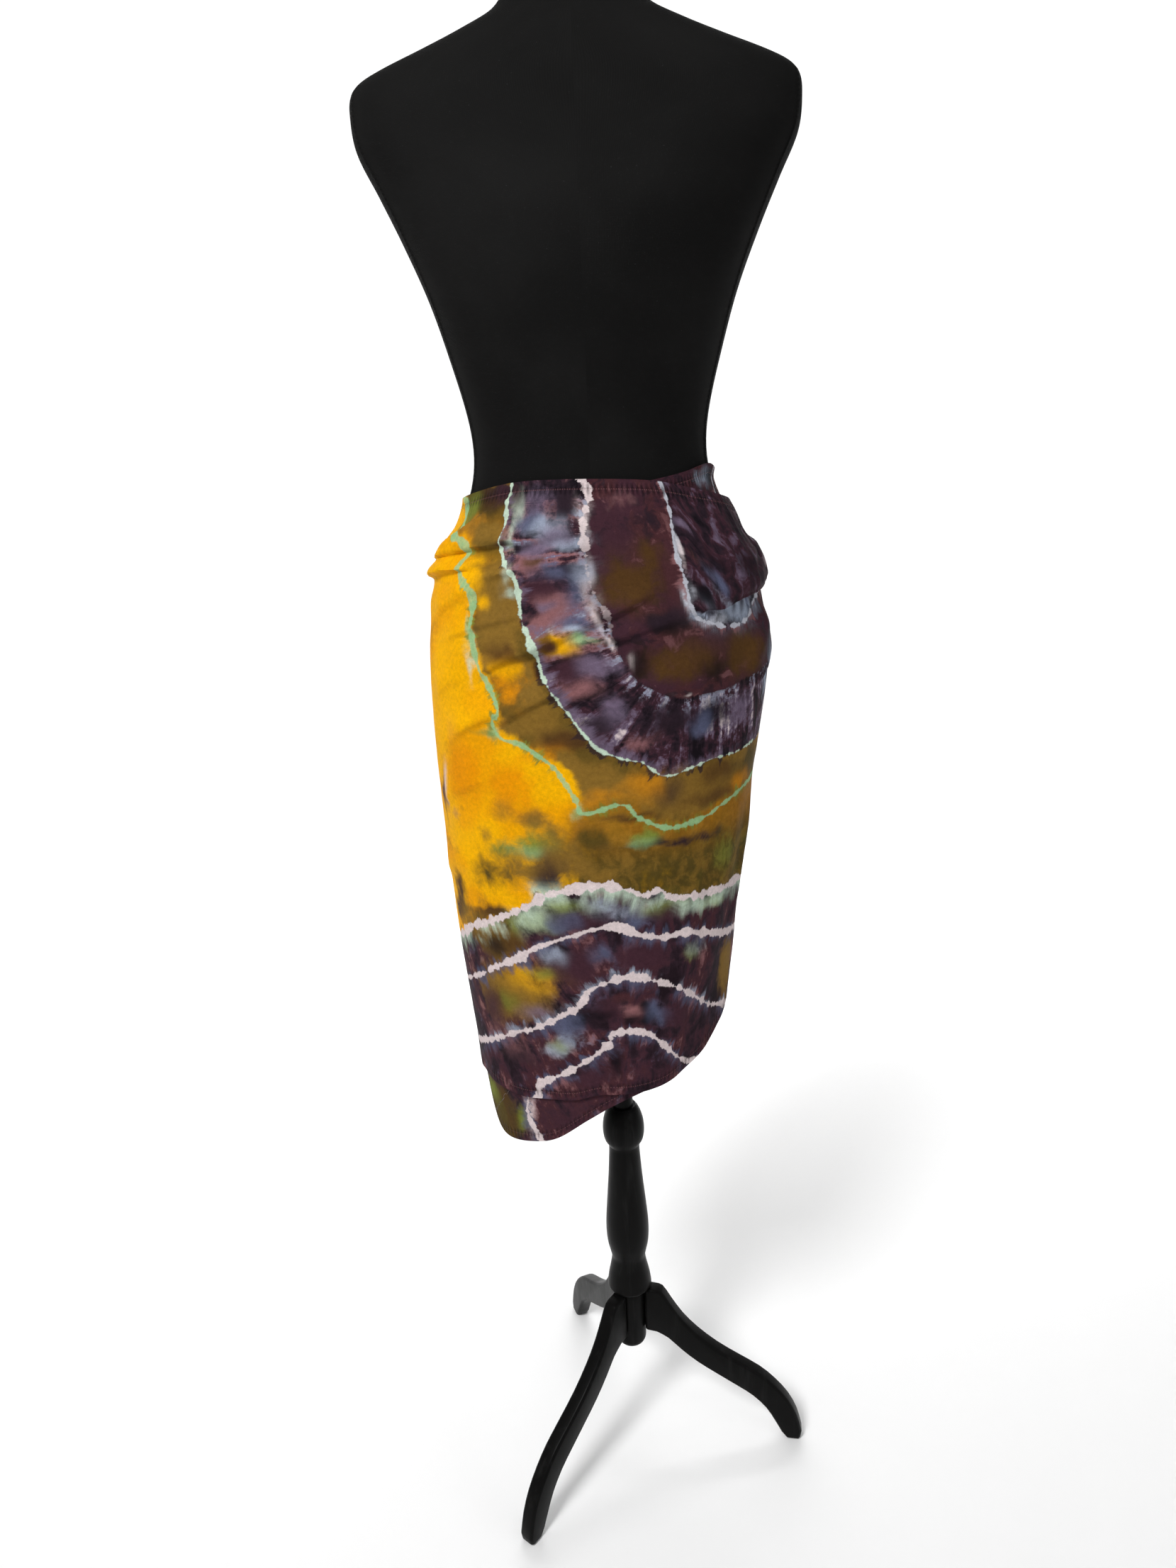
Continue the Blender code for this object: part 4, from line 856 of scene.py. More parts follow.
def choose(item):
    """Only this object selected and active."""
    deselect_all()
    item.select_set(True)
    bpy.context.view_layer.objects.active = item


def apply_modifiers(item):
    """Every modifier applied, in order."""
    choose(item)
    for modifier in list(item.modifiers):
        bpy.ops.object.modifier_apply(modifier=modifier.name)


def mesh_piece(name, points, faces):
    """A new object from points and faces, shaded smooth."""
    mesh = bpy.data.meshes.new(name)
    mesh.from_pydata(points, [], faces)
    mesh.update()
    mesh.shade_smooth()
    item = bpy.data.objects.new(name, mesh)
    bpy.context.scene.collection.objects.link(item)
    return item


def grid_faces(across, up, closed=False):
    """Quads of a grid of points, column by column."""
    faces = []
    for column in range(across if closed else across - 1):
        after = (column + 1) % across
        for row in range(up - 1):
            here, there = column * up + row, after * up + row
            faces.append((here, there, there + 1, here + 1))
    return faces


def put_layer(mesh, name, kind, values):
    """One value for each point of a mesh."""
    layer = mesh.attributes.new(name, kind, "POINT")
    field = {"FLOAT_COLOR": "color", "FLOAT_VECTOR": "vector", "FLOAT": "value"}[kind]
    layer.data.foreach_set(field, np.asarray(values, np.float32).ravel())


def cloth_sheet(name, angle, height, lift, edges, unrolled, thickness, inner=False):
    """A thin closed sheet of cloth through a grid of points, with its dye and edge fields."""
    points = cloth_surface(angle, height, lift + SOLID_WALL / 2)
    across, up = angle.shape
    sheet = mesh_piece(name, points.reshape(-1, 3).tolist(), grid_faces(across, up))
    mesh = sheet.data
    along, up_cloth = unrolled
    for layer, values in dye_fields(along, up_cloth, inner).items():
        put_layer(mesh, layer, "FLOAT_COLOR", values)
    dyed_at, dyed_up = dye_place(along, up_cloth)
    olive = smooth(-20, -2, dyed_at + 60 * (0.84 - dyed_up)) * smooth(0.92, 0.86, dyed_up)
    put_layer(mesh, "olive_share", "FLOAT", olive)
    place = np.stack([along * ARC_PER_DEGREE, up_cloth, 0 * height], axis=-1)
    put_layer(mesh, "cloth_place", "FLOAT_VECTOR", place)
    edge = np.concatenate([edges, np.zeros((*edges.shape[:-1], 1))], axis=-1)
    put_layer(mesh, "hem_place", "FLOAT_VECTOR", edge)
    wall = sheet.modifiers.new("cloth thickness", "SOLIDIFY")
    wall.thickness = thickness
    wall.offset = 0.0
    apply_modifiers(sheet)
    mesh.set_sharp_from_angle(angle=radians(60))
    return sheet


class Value:
    """A node's output, on which arithmetic adds Math nodes."""

    def __init__(self, nodes, socket):
        self.nodes = nodes
        self.socket = socket

    def math(self, operation, *others):
        inputs = dict(enumerate((self, *others)))
        return self.nodes.node("ShaderNodeMath", {"operation": operation}, inputs)

    def __add__(self, other):
        return self.math("ADD", other)

    __radd__ = __add__

    def __sub__(self, other):
        return self.math("SUBTRACT", other)

    def __rsub__(self, other):
        return self * -1.0 + other

    def __mul__(self, other):
        return self.math("MULTIPLY", other)

    __rmul__ = __mul__

    def __abs__(self):
        return self.math("ABSOLUTE")

    def power(self, exponent):
        return self.math("POWER", exponent)

    def sine(self):
        return self.math("SINE")

    def larger(self, other):
        return self.math("MAXIMUM", other)

    def output(self, name):
        """Another output of the same node."""
        return Value(self.nodes, self.socket.node.outputs[name])


class Finish:
    """A material being made: its nodes and its Principled shader."""

    def __init__(self, name, **constants):
        self.material = bpy.data.materials.new(name)
        self.material.use_nodes = True
        self.tree = self.material.node_tree
        self.shader = self.tree.nodes["Principled BSDF"]
        for socket, value in constants.items():
            self.shader.inputs[socket.replace("_", " ")].default_value = value

    def node(self, kind, settings=None, inputs=None, output=0):
        """Any node: its type, its settings, its sockets' values or links, and what is read."""
        made = self.tree.nodes.new(kind)
        for name, value in (settings or {}).items():
            if name == "stops":
                self.set_stops(made.color_ramp.elements, value)
            else:
                setattr(made, name, value)
        for name, value in (inputs or {}).items():
            if isinstance(value, Value):
                self.tree.links.new(value.socket, made.inputs[name])
            else:
                made.inputs[name].default_value = value
        return Value(self, made.outputs[output])

    def set_stops(self, elements, stops):
        """A ramp's stops, each a position and a colour."""
        elements[0].position, elements[1].position = stops[0][0], stops[-1][0]
        elements[0].color, elements[1].color = (*stops[0][1], 1), (*stops[-1][1], 1)
        for position, colour in stops[1:-1]:
            elements.new(position).color = (*colour, 1)

    def feed(self, socket, value):
        self.tree.links.new(value.socket, self.shader.inputs[socket])

    def layer(self, name, output):
        """A mesh attribute, read as its Color, Vector, Alpha or Fac."""
        return self.node("ShaderNodeAttribute", {"attribute_name": name}, {}, output)

    def parts(self, vector):
        x = self.node("ShaderNodeSeparateXYZ", {}, {0: vector})
        return x, x.output(1), x.output(2)

    def joined(self, x, y, z=0.0):
        return self.node("ShaderNodeCombineXYZ", {}, {0: x, 1: y, 2: z})

    def noise(self, vector, scale, detail=2.0, roughness=0.5, distortion=0.0):
        """Smooth noise about 0.5."""
        inputs = {"Scale": scale, "Detail": detail, "Roughness": roughness}
        inputs.update({"Distortion": distortion, "Vector": vector})
        return self.node("ShaderNodeTexNoise", {}, inputs)

    def step(self, value, low, high):
        """0 at low, 1 at high, with a soft start and end."""
        inputs = {"Value": value, "From Min": low, "From Max": high}
        settings = {"interpolation_type": "SMOOTHSTEP"}
        return self.node("ShaderNodeMapRange", settings, inputs)

    def mix(self, first, second, share, blend="MIX"):
        """Two colours mixed, each a value of a node or three plain numbers."""
        first = first if isinstance(first, Value) else (*first, 1)
        second = second if isinstance(second, Value) else (*second, 1)
        settings = {"data_type": "RGBA", "blend_type": blend}
        inputs = {0: share, 6: first, 7: second}
        return self.node("ShaderNodeMix", settings, inputs, 2)

    def ramp(self, value, stops):
        """Colours that follow a value."""
        return self.node("ShaderNodeValToRGB", {"stops": stops}, {0: value})

    def bump(self, height, strength):
        """A normal from a height in metres."""
        inputs = {"Height": height, "Distance": 1.0, "Strength": strength}
        return self.node("ShaderNodeBump", {}, inputs)


# How a bound line looks: its colour and width, how ragged it is, how strongly it swells into
# beads and how much of that is taken off again, the colours and widths of the faded dye on its
# lower and upper side, and how much of its width is left low on the cloth
BoundLine = namedtuple(
    "BoundLine", "tone width ragged beads slack below below_width above above_width low_share"
)
BOUND_LINES = table(
    BoundLine,
    (TEAL, 0.0034, 0.0090, 4.2, 1.00, GREEN, 0.006, GREEN, 0.006, 0.50),
    (MINT, 0.0028, 0.0110, 4.2, 1.42, DARK_PLUM, 0.003, LILAC, 0.010, 0.20),
    (PALE, 0.0034, 0.0240, 2.4, 0.50, ICE, 0.020, DARK_PLUM, 0.008, 0.12),
    (CHALK, 0.0018, 0.0130, 4.2, 1.20, DUSTY_PINK, 0.006, INK, 0.010, 1.00),
    (PALE, 0.0029, 0.0200, 4.2, 1.00, OLIVE, 0.005, MINT, 0.022, 1.00),
    (PALE, 0.0026, 0.0140, 4.2, 1.00, BLUE_GREY, 0.008, BLUE_GREY, 0.014, 1.00),
    (PALE, 0.0029, 0.0180, 2.4, 0.20, ICE, 0.009, BLUE_GREY, 0.018, 1.00),
    (PALE, 0.0025, 0.0140, 4.2, 1.00, BLUE_GREY, 0.007, BLUE_GREY, 0.015, 1.00),
)
STREAKY_LINE = BOUND_LINES[2]

# The hem: how far its stitches are from the edge, its puckers' and stitches' pitch
HEM_WIDTH = 0.0085
PUCKER_PITCH = 0.0062
STITCH_PITCH = 0.0028


def dyed_rayon(settings):
    """Thin rayon, dyed in bands between pale bound lines, with a narrow stitched hem."""
    cloth = Finish("dyed rayon", Sheen_Weight=0.01, Sheen_Roughness=0.5)
    cloth.shader.inputs["Specular IOR Level"].default_value = 0.04
    lines = []
    for end in ("upper", "lower"):
        distance = cloth.layer(end + "_lines", "Color")
        place = cloth.layer(end + "_along", "Color")
        four = [(*cloth.parts(value), value.output("Alpha")) for value in (distance, place)]
        lines.extend(zip(*four))
    spot_colour = cloth.layer("dye_spots", "Color")
    spot_cover = spot_colour.output("Alpha")
    place = cloth.layer("cloth_place", "Vector")
    along, up, _ = cloth.parts(place)
    hem_along, hem_from, _ = cloth.parts(cloth.layer("hem_place", "Vector"))

    # Dye wanders slowly, spreads in blots and creeps in feathers out from the bound lines
    slow = cloth.noise(place, 24, 3, 0.6) - 0.5
    fine = cloth.noise(place, 230, 2, 0.6) - 0.5
    blots = cloth.noise(place, 22, 4, 0.55, 0.5)
    small_blots = cloth.noise(place, 70, 4, 0.6, 0.6)
    both_blots = small_blots * 0.5 + blots * 0.5
    cloudy = cloth.noise(place, 11, 3, 0.5, 0.3)
    edges, feathers, widths = [], [], []
    for number, (distance, along_line) in enumerate(lines):
        across = cloth.joined(along_line * 95, distance * 11, number * 3.7)
        edges.append(distance + slow * 0.008)
        feathers.append(cloth.noise(across, 1.0, 4, 0.62, 0.2) - 0.5)
        bead = cloth.joined(along_line * 34, number * 5.1)
        widths.append(cloth.noise(bead, 1.0, 2, 0.5))

    high_up = cloth.step(up, 0.97, 1.04)
    by_waist = cloth.step(up, 1.09, 1.13)
    streaks_up = feathers[2] + 0.5
    streaks_low = feathers[5] + 0.5
    gold = cloth.mix(settings.gold, ORANGE, cloth.step(cloudy, 0.45, 0.62) * 0.55)
    gold = cloth.mix(gold, OCHRE, cloth.step(blots, 0.60, 0.72) * 0.45)
    ochre = cloth.mix(OCHRE, ORANGE, cloth.step(cloudy, 0.50, 0.66) * 0.6)
    ochre = cloth.mix(ochre, OLIVE, cloth.step(blots, 0.46, 0.60) * 0.7)
    upper_mix = blots * 0.30 + streaks_up * 0.50 + small_blots * 0.20 + fine * 0.10
    hazy = cloth.ramp(
        upper_mix,
        [
            (0.40, INK), (0.45, DARK_PLUM), (0.49, PLUM),
            (0.53, DUSTY_PINK), (0.57, LILAC), (0.62, ICE),
        ],
    )
    feathery = cloth.ramp(
        upper_mix, [(0.42, INK), (0.47, DARK_PLUM), (0.51, PLUM), (0.56, LILAC), (0.61, PALE)]
    )
    hazy = cloth.mix(feathery, hazy, cloth.step(up, 0.98, 1.03))
    maroon = cloth.mix(MAROON, PLUM, cloth.step(blots, 0.44, 0.56))
    maroon = cloth.mix(maroon, DARK_PLUM, cloth.step(small_blots, 0.49, 0.62) * 0.75)
    rosy = cloth.step(small_blots * 0.6 + blots * 0.4, 0.44, 0.36)
    maroon = cloth.mix(maroon, DUSTY_PINK, rosy * 0.4)
    purple = cloth.ramp(
        both_blots, [(0.36, INK), (0.45, DARK_PLUM), (0.53, PLUM), (0.63, LILAC)]
    )
    lower_mix = blots * 0.45 + small_blots * 0.25 + streaks_low * 0.30
    plum = cloth.ramp(
        lower_mix,
        [(0.40, INK), (0.45, DARK_PLUM), (0.49, PLUM), (0.54, MAROON), (0.60, DUSTY_PINK)],
    )
    plum = cloth.mix(settings.plum, plum, 0.85)
    greyer = cloth.step(cloudy * 0.5 + small_blots * 0.5, 0.55, 0.68)
    plum = cloth.mix(plum, BLUE_GREY, greyer * 0.6)

    # The gold turns olive at the front's right, and ochre past the first line
    greenish = cloth.mix(OLIVE, OCHRE, cloth.step(both_blots, 0.44, 0.60) * 0.7)
    greenish = cloth.mix(greenish, GREEN, cloth.step(cloudy, 0.54, 0.66) * 0.15)
    greenish = cloth.mix(greenish, ORANGE, cloth.step(up, 0.80, 0.85) * 0.28)
    olive_edge = cloth.layer("olive_share", "Fac") + (blots - 0.5) * 1.5 + (small_blots - 0.5) * 0.4
    gold = cloth.mix(gold, greenish, cloth.step(olive_edge, 0.12, 0.88))
    brown_edge = edges[0] + feathers[0] * 0.014 + (blots - 0.5) * 0.030
    colour = cloth.mix(gold, ochre, cloth.step(brown_edge, 0.001, 0.010))
    for number, band in enumerate((hazy, maroon, purple, plum), 1):
        past_line = edges[number] + feathers[number] * 0.012
        colour = cloth.mix(colour, band, cloth.step(past_line, -0.0014, 0.0014))

    # Spots with ragged borders
    ragged = spot_cover + (small_blots - 0.5) * 0.8 + (blots - 0.5) * 0.6
    ragged = ragged + (streaks_up + streaks_low - 1.0) * 0.4
    colour = cloth.mix(colour, spot_colour, cloth.step(ragged, 0.14, 0.84))

    # Faded dye beside the bound lines, then the lines
    for number, line in enumerate(BOUND_LINES):
        spread = feathers[number] * 0.050 + (small_blots - 0.5) * 0.012
        for side, tone, width in (
            (edges[number] * -1.0, line.below, line.below_width),
            (edges[number], line.above, line.above_width),
        ):
            reached = cloth.step(side + spread, width, 0.0) * cloth.step(side, -0.001, 0.0)
            if line is STREAKY_LINE:
                reached = reached * cloth.step(feathers[number] + fine * 0.4, -0.02, 0.10)
            colour = cloth.mix(colour, tone, reached * cloth.step(blots, 0.36, 0.58) * 0.8)
    for number, line in enumerate(BOUND_LINES):
        kept = high_up * (1.0 - line.low_share) + line.low_share
        if line is STREAKY_LINE:
            kept = kept * (by_waist * 0.6 + 0.4)
        room = (widths[number] * line.beads - line.slack).larger(0.0) * kept * line.width
        away = abs(edges[number]) + feathers[number] * line.ragged + fine * 0.0012
        share = cloth.step(away - room, 0.0009, -0.0006)
        if line is STREAKY_LINE:
            share = share * (by_waist * 0.6 + 0.4) * cloth.step(up, 1.01, 1.06)
        colour = cloth.mix(colour, line.tone, share * (0.78 if line.tone == TEAL else 0.95))

    # Slow and fine unevenness of the dye, and painted shade in the hem's puckers
    grain = cloth.noise(place, 700, 2, 0.7) - 0.5
    shade = 1.0 + slow * 0.25 + fine * 0.55 + grain * 0.45
    colour = cloth.mix(colour, cloth.joined(shade, shade, shade), 1.0, "MULTIPLY")
    ticks = (hem_along * (2 * pi / PUCKER_PITCH) + slow * 14).sine()
    from_seam = abs(hem_from - HEM_WIDTH)
    at_hem = cloth.step(from_seam, 0.0070, 0.0010)
    stitches = cloth.step((hem_along * (2 * pi / STITCH_PITCH)).sine(), -0.4, 0.2)
    stitches = cloth.step(from_seam, 0.0009, 0.0003) * stitches
    # Painted shade: ink-dark ticks across the hem, in step with the puckers' bumps
    colour = cloth.mix(colour, INK, (at_hem * cloth.step(ticks, 0.0, 1.0)) * 0.50)
    colour = cloth.mix(colour, DUSTY_PINK, stitches * 0.35)
    cloth.feed("Base Color", colour)
    cloth.feed("Roughness", 0.68 + (blots - 0.5) * 0.2)

    # Weave, crumple and hem
    thread = 2 * pi / settings.thread_pitch
    weave = (along * thread).sine() * (up * thread).sine()
    crumple = cloth.noise(place, 34, 4, 0.55)
    relief = crumple * 0.0016 + weave * 0.00004
    relief = relief + ticks * at_hem * 0.00085 - cloth.step(from_seam, 0.0012, 0.0) * 0.0006
    cloth.feed("Normal", cloth.bump(relief, 0.9))
    return cloth.material


def black_jersey(settings):
    """Fine-knit jersey, stretched smooth."""
    jersey = Finish("black jersey")
    jersey.shader.inputs["Specular IOR Level"].default_value = 0.06
    place = jersey.layer("knit_place", "Vector")
    around, up, _ = jersey.parts(place)
    slow = jersey.noise(place, 9, 3, 0.5)
    lint = jersey.noise(place, 420, 2, 0.6)
    tone = tuple(settings.jersey)
    lighter = tuple(1.55 * channel + 0.003 for channel in tone)
    colour = jersey.mix(tone, lighter, jersey.step(slow, 0.35, 0.75) * 0.5)
    colour = jersey.mix(colour, (0.05, 0.05, 0.052), jersey.step(lint, 0.70, 0.78) * 0.35)
    jersey.feed("Base Color", colour)
    jersey.feed("Roughness", 0.80 + (slow - 0.5) * 0.15)
    wale = 2 * pi / settings.knit_pitch
    ribs = (around * wale).sine()
    loops = (up * (wale * 1.3) + abs(ribs) * 1.8).sine()
    on_seam = jersey.step(jersey.layer("from_seam", "Fac"), 0.0042, 0.0022)
    serging = (up * (2 * pi / 0.0042) + around * 240).sine() * on_seam
    relief = ribs * 0.00005 + loops * 0.00003 + serging * 0.00045
    jersey.feed("Normal", jersey.bump(relief, 0.7))
    return jersey.material


def black_paint(name, settings, roughness, grain):
    """Satin black paint, with the wood's grain or fine orange peel under it."""
    paint = Finish(name, Coat_Roughness=0.3)
    paint.shader.inputs["Specular IOR Level"].default_value = 0.20
    paint.shader.inputs["IOR"].default_value = 1.22
    place = paint.node("ShaderNodeTexCoord", output="Object")
    x, y, z = paint.parts(place)
    along_grain = paint.joined(x * 90, y * 90, z * 7)
    streaks = paint.noise(along_grain, 1.0, 4, 0.6, 0.4)
    peel = paint.noise(place, 260, 2, 0.5)
    wear = paint.noise(place, 30, 4, 0.6)
    tone = tuple(settings.paint)
    worn = tuple(2.0 * channel + 0.003 for channel in tone)
    share = paint.step(streaks, 0.50, 0.75) * grain + paint.step(wear, 0.62, 0.80) * 0.5
    paint.feed("Base Color", paint.mix(tone, worn, share))
    paint.feed("Roughness", roughness + (wear - 0.5) * 0.22 + (streaks - 0.5) * 0.12 * grain)
    paint.feed("Coat Weight", paint.step(wear, 0.80, 0.30) * 0.02)
    relief = streaks * 0.00022 * grain + peel * 0.00006
    paint.feed("Normal", paint.bump(relief, 0.8))
    return paint.material


def colour_property(name, description, value):
    """A colour that a user may change."""
    return bpy.props.FloatVectorProperty(
        name=name, description=description, subtype="COLOR", size=3, min=0, max=1, default=value
    )


def number_property(name, description, value, unit="NONE"):
    """A number that a user may change."""
    return bpy.props.FloatProperty(name=name, description=description, default=value, unit=unit)


class SarongSettings(bpy.types.PropertyGroup):
    """The cloth's sizes and main dyes."""

    thickness: number_property("Cloth thickness", "Thickness of the rayon", 0.0006, "LENGTH")
    thread_pitch: number_property(
        "Thread pitch", "From one thread of the weave to the next", 0.0007, "LENGTH"
    )
    gold: colour_property("Golden yellow", "The widest field of dye", GOLD)
    plum: colour_property("Plum", "The dye between the lower lines", PLUM)


class FormSettings(bpy.types.PropertyGroup):
    """The dress form's cover."""

    jersey: colour_property("Jersey", "The cover's black", (0.0046, 0.0045, 0.0044))
    knit_pitch: number_property(
        "Knit pitch", "From one wale of the jersey to the next", 0.0012, "LENGTH"
    )


class StandSettings(bpy.types.PropertyGroup):
    """The post, the pole and the legs."""

    paint: colour_property("Paint", "The stand's black", (0.0036, 0.0035, 0.0034))
    roundness: number_property(
        "Edge roundness", "Radius of the legs' eased edges", 0.0009, "LENGTH"
    )


class StageSettings(bpy.types.PropertyGroup):
    """The floor and the lights."""

    floor: colour_property("Floor", "The pale floor and wall", (0.92, 0.92, 0.92))
    key_power: number_property(
        "Key light", "Power of the large soft light at the front left", 82.0, "POWER"
    )
    fill_power: number_property(
        "Fill light", "Power of the soft light at the front right", 7.0, "POWER"
    )
    wall_power: number_property(
        "Wall light", "Power of the light on the wall behind", 420.0, "POWER"
    )
    sky: number_property("Sky", "Strength of the even light from all round", 0.36)


def cloth_material():
    """The one dyed rayon, made once."""
    found = bpy.data.materials.get("dyed rayon")
    return found or dyed_rayon(bpy.context.scene.sarong_settings)


def finish_cloth(sheet, nodes):
    """Gives a stretch of cloth its material and its body, and hides the imported parts it stands
    for.
    """
    sheet.data.materials.append(cloth_material())
    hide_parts(*nodes)
    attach(sheet, "root")


class SARONG_OT_inner_front(bpy.types.Operator):
    """Add the inner end of the cloth, which lies under the front"""

    bl_idname = "sarong.inner_front"
    bl_label = "Inner front"

    def execute(self, context):
        settings = context.scene.sarong_settings
        end = RIGHT_SEAM_ANGLE - SEAM_GAP_ANGLE
        angle, height = sheet_grid(INNER_END_ANGLE, end, INNER_GRID, INNER_HEM, INNER_TOP)
        lift = flare_lift(CORNER_FLARE, angle, height)
        edges = edge_fields(angle, height, INNER_HEM, INNER_TOP, (INNER_END_ANGLE,))
        flat = (angle - 360, height)
        sheet = cloth_sheet(
            "inner_front", angle, height, lift, edges, flat, settings.thickness, True
        )
        finish_cloth(sheet, ("sarong_inner_front",))
        return {"FINISHED"}


class SARONG_OT_back(bpy.types.Operator):
    """Add the stretch of the cloth that goes round the back"""

    bl_idname = "sarong.back"
    bl_label = "Back"

    def execute(self, context):
        settings = context.scene.sarong_settings
        start, end = RIGHT_SEAM_ANGLE + SEAM_GAP_ANGLE, LEFT_SEAM_ANGLE - SEAM_GAP_ANGLE
        angle, height = sheet_grid(start, end, BACK_GRID, BACK_HEM, BACK_TOP)
        lift = back_lift(angle, height) + fine_wrinkles(angle, height, BACK_WRINKLES)
        edges = edge_fields(angle, height, BACK_HEM, BACK_TOP, ())
        sheet = cloth_sheet(
            "back", angle, height, lift, edges, (angle - 360, height), settings.thickness
        )
        finish_cloth(sheet, ("sarong_back",))
        return {"FINISHED"}


class SARONG_OT_outer_front(bpy.types.Operator):
    """Add the outer end of the cloth with its pouch over the right hip"""

    bl_idname = "sarong.outer_front"
    bl_label = "Outer front and hip pouch"

    def execute(self, context):
        settings = context.scene.sarong_settings
        start = LEFT_SEAM_ANGLE - 360 + SEAM_GAP_ANGLE
        angles = np.linspace(start, OUTER_END_ANGLE, OUTER_COLUMNS)
        angle, height, lift, unrolled = outer_grid(angles)
        lift = lift + fine_wrinkles(angle, height, FRONT_WRINKLES)
        edges = edge_fields(angle, height, OUTER_HEM, OUTER_TOP, (OUTER_END_ANGLE,))
        sheet = cloth_sheet(
            "outer_front", angle, height, lift, edges, (angle, unrolled), settings.thickness
        )
        finish_cloth(
            sheet,
            ("sarong_outer_front", "sarong_hip_fold"),
        )
        return {"FINISHED"}


class SARONG_OT_form_cover(bpy.types.Operator):
    """Add the padded torso in its jersey cover"""

    bl_idname = "sarong.form_cover"
    bl_label = "Form cover"

    segments = 160

    def execute(self, context):
        body = np.linspace(FORM_SECTIONS[0].height, SHOULDER_HEIGHT, 80)
        neck = np.linspace(SHOULDER_HEIGHT, FORM_SECTIONS[-1].height, 60)
        heights = np.concatenate([body, neck[1:]])
        even = np.linspace(0, 360, self.segments, endpoint=False)
        beside = [side + step for side in (SIDE_SEAM, 360 - SIDE_SEAM) for step in SEAM_STEPS]
        angles = np.array(sorted({*even.round(3), *np.round(beside, 3)}))
        half_width, front, back, squareness = columns(FORM_SECTIONS, heights)
        angle, height = np.meshgrid(angles, heights, indexing="ij")
        from_seam = np.minimum(np.abs(angle - SIDE_SEAM), np.abs(angle - (360 - SIDE_SEAM)))
        from_seam = np.radians(from_seam) * half_width[None, :]
        ridge = SEAM_RIDGE * np.exp(-((from_seam / SEAM_HALF_WIDTH) ** 2))
        ridge = ridge * smooth(1.52, 1.48, height)
        x, y = oval(angle, half_width, half_width, front, back, squareness, ridge)
        points = np.stack([x, y, height], axis=-1).reshape(-1, 3).tolist()
        faces = grid_faces(len(angles), len(heights), closed=True)
        rim = [column * len(heights) for column in range(len(angles))]
        faces.append(tuple(rim[::-1]))
        faces.append(tuple(index + len(heights) - 1 for index in rim))
        cover = mesh_piece("form_cover", points, faces)
        self.unwrap(cover.data, angles, heights)
        put_layer(cover.data, "from_seam", "FLOAT", from_seam)
        choose(cover)
        bpy.ops.object.shade_smooth_by_angle(angle=radians(50))
        cover.data.materials.append(black_jersey(context.scene.form_settings))
        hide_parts("dress_form")
        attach(cover, "root")
        return {"FINISHED"}

    def unwrap(self, mesh, angles, heights):
        """The knit's place at every corner, with the last column running on past a full turn."""
        points = np.empty(len(mesh.loops), np.int32)
        mesh.loops.foreach_get("vertex_index", points)
        column, row = points // len(heights), points % len(heights)
        turn = angles[column]
        quads = turn[: 4 * len(angles) * (len(heights) - 1)].reshape(-1, 4)
        wraps = (quads.max(axis=1) - quads.min(axis=1)) > 180
        quads[wraps[:, None] & (quads < 180)] += 360
        around = np.radians(turn) * FORM_RADIUS
        knit = np.stack([around, heights[row], 0 * turn], axis=-1)
        layer = mesh.attributes.new("knit_place", "FLOAT_VECTOR", "CORNER")
        layer.data.foreach_set("vector", knit.astype(np.float32).ravel())


def turned_piece(name, profile, segments):
    """A turned piece: a disc at the lowest row, extruded and resized up its profile."""
    low = profile[0]
    deselect_all()
    bpy.ops.mesh.primitive_circle_add(
        vertices=segments, radius=low[1], fill_type="NGON", location=(AXIS_X, AXIS_Y, low[0])
    )
    piece = bpy.context.object
    piece.name = piece.data.name = name
    bpy.ops.object.mode_set(mode="EDIT")
    bpy.ops.mesh.select_mode(type="FACE")
    bpy.ops.mesh.select_all(action="SELECT")
    for before, after in zip(profile, profile[1:]):
        bpy.ops.mesh.extrude_region_move(
            TRANSFORM_OT_translate={"value": (0, 0, after[0] - before[0])}
        )
        share = after[1] / before[1]
        bpy.ops.transform.resize(
            value=(share, share, 1), center_override=(AXIS_X, AXIS_Y, after[0])
        )
    bpy.ops.mesh.select_all(action="SELECT")
    bpy.ops.mesh.normals_make_consistent(inside=False)
    bpy.ops.object.mode_set(mode="OBJECT")
    bpy.ops.object.transform_apply(location=True, rotation=True, scale=True)
    bpy.ops.object.shade_smooth_by_angle(angle=radians(38))
    return piece


class SARONG_OT_turned_post(bpy.types.Operator):
    """Add the turned post, from its drum to its knob"""

    bl_idname = "sarong.turned_post"
    bl_label = "Turned post"

    def execute(self, context):
        profile = []
        for lower, upper in zip(POST_PROFILE, POST_PROFILE[1:]):
            profile.append(lower)
            if lower.height in DRUM_EDGES or upper.height - lower.height < 0.003:
                continue
            for share in (0.25, 0.5, 0.75):
                height = lower.height + (upper.height - lower.height) * share
                radius = float(columns(POST_PROFILE, height)[0])
                if lower.height < DRUM_EDGES[0]:
                    radius = min(radius, DRUM_RADIUS)
                profile.append((height, radius))
        profile.append(POST_PROFILE[-1])
        post = turned_piece("turned_post_paint", profile, 72)
        settings = context.scene.stand_settings
        post.data.materials.append(black_paint("black painted wood", settings, 0.36, 1.0))
        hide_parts("turned_post")
        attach(post, "root")
        return {"FINISHED"}


class SARONG_OT_pole(bpy.types.Operator):
    """Add the steel pole"""

    bl_idname = "sarong.pole"
    bl_label = "Pole"

    def execute(self, context):
        rows = [(height, POLE_RADIUS) for height in (POLE_BOTTOM, POLE_MIDDLE, POLE_TOP)]
        pole = turned_piece("pole_paint", rows, 56)
        settings = context.scene.stand_settings
        pole.data.materials.append(black_paint("black painted steel", settings, 0.30, 0.0))
        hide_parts("pole")
        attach(pole, "root")
        return {"FINISHED"}


